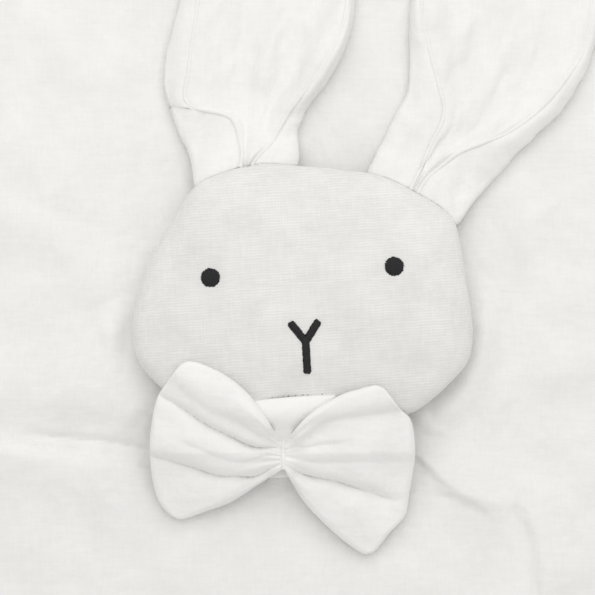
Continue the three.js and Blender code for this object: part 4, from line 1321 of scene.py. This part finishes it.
def lining_section(middle, turn_up, outermost, rim, height, share):
    """From the ear's middle, flat and then up to the rim."""
    x = mix(middle, rim, share)
    slope = smooth_max((x - turn_up) / np.maximum(rim - turn_up, EAR_LEAST_TURN), 0, 0.2)
    return x, height * smooth(3 * share) * (1 - (1 - np.minimum(slope, 1)) ** 1.25)


def outer_section(middle, turn_up, outermost, rim, height, share):
    """From the ear's middle along its underside, round the fold and back over it to the rim."""
    radius = EAR_FOLD_SHARE * height
    bend = np.clip((share - EAR_FLAT_TO) / (EAR_BENT_TO - EAR_FLAT_TO), 0, 1) * EAR_FOLD_BEND
    back = np.clip((share - EAR_BENT_TO) / (1 - EAR_BENT_TO), 0, 1)
    x = mix(middle, outermost - radius, np.clip(share / EAR_FLAT_TO, 0, 1)) + radius * np.sin(bend)
    z = radius * (1 - np.cos(bend))
    bulge = EAR_BULGE_SHARE * height * np.sin(math.pi * back)
    return mix(x, rim, back), mix(z, height, back) + bulge


def ear_root(ear):
    """The middle of the ear's root, in the head's frame."""
    return ear["root"][0] * HEAD_HALF_WIDTH, ear["root"][1] * HEAD_HEIGHT


def ear_seat(ear):
    """The head's outline as the ear sees it: places across, and how far forward the head reaches."""
    across, up = ear_root(ear)
    outline = np.array(turned(head_outline[:, 0] - across, head_outline[:, 1] - up, ear["lean"]))
    outline = outline[:, outline[1] > -EAR_SEAT_DEPTH]
    return outline[:, np.argsort(outline[0])]


def ear_waves(ear, x, along, z, forward):
    """Soft wrinkles, the pleats at the root and the ear's own folds."""
    seed = EAR_SEEDS[ear["side"]]
    wave = EAR_WAVE * ripples(x, along, EAR_WAVE_LENGTH, seed, EAR_WAVE_STRETCH)
    wave += EAR_CRINKLE * crinkle(x, along, EAR_CRINKLE_LENGTH, seed + 5, EAR_CRINKLE_STRETCH)
    pleats = ripples(x, along * EAR_PLEAT_SLOWNESS, EAR_PLEAT_LENGTH, seed + 9)
    wave += EAR_PLEAT * pleats * bell(forward, EAR_PLEAT_RUN)
    flatness = bell(z, EAR_FLAT_HEIGHT)
    for crest, rise, width in ear["folds"]:
        fold = curve(np.array(crest) * (EAR_LENGTH, EAR_HALF_WIDTH), 60)
        away = x - np.interp(along, fold[:, 0], fold[:, 1])
        ends = smooth((along - fold[0, 0]) / EAR_FOLD_START_RUN)
        ends = ends * smooth((fold[-1, 0] - along) / EAR_FOLD_END_RUN)
        wave += rise * MM * ends * flatness * bell(away, width * MM)
    return wave


def ear_layer(ear, section, inset, rows=110, columns=26):
    """One face of an ear's cloth, from rim to rim and from root to tip, moved inwards by inset."""
    sizes = [EAR_HALF_WIDTH] * 3 + [EAR_ROOT_HEIGHT]
    table = np.array([(forward, *left, *right) for forward, left, right in ear["rows"]])
    line = curve(table * (EAR_LENGTH, *sizes, *sizes), 300)
    outline = ear_seat(ear)
    forward = np.union1d(np.linspace(0, 1, rows), np.linspace(*EAR_CLOSE_ROWS, rows // 2))
    forward = forward[:, None] * EAR_LENGTH
    seated = 1 - smooth(forward / EAR_SEAT_RUN)
    share = np.linspace(0, 1, columns)[None, :]
    halves = []
    for side, sign in ((0, -1), (1, 1)):
        along = forward + 0 * share
        for _ in range(EAR_SEAT_PASSES):
            values = [np.interp(along, line[:, 0], line[:, k]) for k in range(1, 9)]
            middle = sign * (values[4] - values[0]) / 2
            x, z = section(middle, *values[4 * side:4 * side + 4], share)
            if section is lining_section:
                near_root = 1 - smooth(along / EAR_GROOVE_RUN)
                groove = EAR_GROOVE_SHARE * values[4 * side + 3] * near_root
                z = smooth_max(z, groove, EAR_GROOVE_BLEND * (1 - share ** 4) * near_root)
            along = forward + seated * (np.interp(sign * x, outline[0], outline[1]) + EAR_SEAT_GAP)
        halves.append(spots(sign * x, along, z))
    grid = np.concatenate([halves[0][:, ::-1], halves[1][:, 1:]], 1)
    x, along, z = grid[..., 0], grid[..., 1], grid[..., 2]
    slope_x, slope_z = np.gradient(x, axis=1), np.gradient(z, axis=1)
    size = np.maximum(np.hypot(slope_x, slope_z), 1e-9)
    from_middle = np.abs(np.linspace(-1, 1, grid.shape[1]))
    edge = from_middle ** 10
    wave = ear_waves(ear, x, along, z, forward)
    wave = wave * smooth(forward / EAR_WAVE_START_RUN + 0.3) * (1 - edge)
    if section is outer_section:
        aside = 1
        lift = inset - wave * smooth(z / EAR_SIDE_HEIGHT)
    else:
        aside = from_middle ** 4
        lift = inset * (1 - edge) + np.maximum(wave, EAR_LOWEST_WAVE)
    root_rise = SEAM_HEIGHT - EAR_BELOW_SEAM - EAR_ROOT_HEIGHT - BLANKET_TOP - EAR_REST_GAP
    base = BLANKET_TOP + EAR_REST_GAP + root_rise * (1 - smooth(forward / EAR_ROOT_RUN))
    x = x - aside * slope_z / size * lift
    z = z + mix(1, slope_x / size, aside) * lift + base
    x, y = turned(x, along, -ear["lean"])
    across, up = ear_root(ear)
    return spots(*from_head(x + across, y + up), np.maximum(z, BLANKET_TOP + EAR_LEAST_LIFT + inset))


def make_ear(ear):
    """An ear's outer cloth, its lining and the seam along its rim."""
    side = ear["side"]
    skin = ear_layer(ear, outer_section, EAR_CLOTH)
    outer = shell(f"{side}_ear_outer_cloth", skin, ear_layer(ear, outer_section, 0), GAUZE)
    top = ear_layer(ear, lining_section, 2 * EAR_CLOTH + GAP)
    bottom = ear_layer(ear, lining_section, EAR_CLOTH + GAP)
    lining = shell(f"{side}_ear_lining_cloth", top, bottom, GAUZE)
    rim = np.concatenate([top[:, 0], top[-1, 1:-1], top[::-1, -1]])
    uneven = ripples(np.linspace(0, EAR_RIM_ARC, EAR_RIM_STEPS), 0, EAR_RIM_WAVE_LENGTH, EAR_RIM_SEED)
    rim_radius = EAR_RIM_RADIUS * (1 + EAR_RIM_UNEVEN * uneven)
    seam = rope(f"{side}_ear_rim_seam", curve(rim[::3], EAR_RIM_STEPS), rim_radius, GAUZE)
    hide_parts(f"{side}_ear_outer")
    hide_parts(f"{side}_ear_lining")
    for made in (outer, lining, seam):
        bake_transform(made)


# Floor, light and camera

def make_floor():
    material, tree, shader, place = nodes_of("floor_paint", FLOOR_COLOUR, FLOOR_ROUGHNESS)
    coloured(tree, shader, noise(tree, place, FLOOR_CLOUD_SIZE, 3), FLOOR_DARK, FLOOR_LIGHT)
    corners = [(FLOOR_HALF * x, FLOOR_HALF * y, 0) for x, y in ((-1, -1), (1, -1), (1, 1), (-1, 1))]
    piece("floor", corners, [(0, 1, 2, 3)], material)


def make_sky():
    """Even light from all round, seen by the camera as a pale backdrop."""
    world = bpy.context.scene.world or bpy.data.worlds.new("studio")
    bpy.context.scene.world = world
    world.use_nodes = True
    tree = world.node_tree
    tree.nodes.clear()
    ambient = tree.nodes.new("ShaderNodeBackground")
    ambient.inputs["Color"].default_value = (*SKY_COLOUR, 1)
    ambient.inputs["Strength"].default_value = SKY_STRENGTH
    seen = tree.nodes.new("ShaderNodeBackground")
    seen.inputs["Color"].default_value = (*BACKDROP_COLOUR, 1)
    rays = tree.nodes.new("ShaderNodeLightPath")
    either = math_of(tree, "MAXIMUM", rays.outputs["Is Camera Ray"], rays.outputs["Is Glossy Ray"])
    either = math_of(tree, "MAXIMUM", either, rays.outputs["Is Transmission Ray"])
    join = tree.nodes.new("ShaderNodeMixShader")
    out = tree.nodes.new("ShaderNodeOutputWorld")
    for source, target in ((either, join.inputs[0]), (ambient.outputs[0], join.inputs[1]),
                           (seen.outputs[0], join.inputs[2]), (join.outputs[0], out.inputs["Surface"])):
        tree.links.new(source, target)


def make_lamp():
    data = bpy.data.lights.new("window", "AREA")
    data.shape = "DISK"
    data.size = LAMP_SIZE
    data.energy = LAMP_POWER
    data.color = LAMP_COLOUR
    lamp = bpy.data.objects.new("window", data)
    lamp.location = LAMP_PLACE
    lamp.rotation_euler = Vector(LAMP_PLACE).to_track_quat("Z", "Y").to_euler()
    lamp.visible_camera = False
    bpy.context.scene.collection.objects.link(lamp)


def make_camera():
    data = bpy.data.cameras.new("camera")
    data.lens = data.sensor_width * CAMERA_DISTANCE / VIEW_WIDTH
    data.clip_start = CAMERA_NEAR
    camera = bpy.data.objects.new("camera", data)
    camera.location = (*VIEW_MIDDLE, CAMERA_DISTANCE + FACE_LEVEL)
    bpy.context.scene.collection.objects.link(camera)
    bpy.context.scene.camera = camera


make_camera()
make_floor()
make_sky()
make_lamp()
bpy.context.scene.view_settings.view_transform = "Standard"
make_blanket()
face = make_head()
over_face = height_over([face])
for eye_side in EYES_ACROSS:
    make_eye(eye_side, over_face)
make_nose(over_face)
make_neck()
make_neck_base()
chin_patch = make_patch(over_face)
make_needle_marks(over_face)
over_chin = height_over([face, chin_patch])
for wing in BOW_WINGS:
    make_wing(wing, over_chin)
make_gather()
for ear in EARS:
    make_ear(ear)
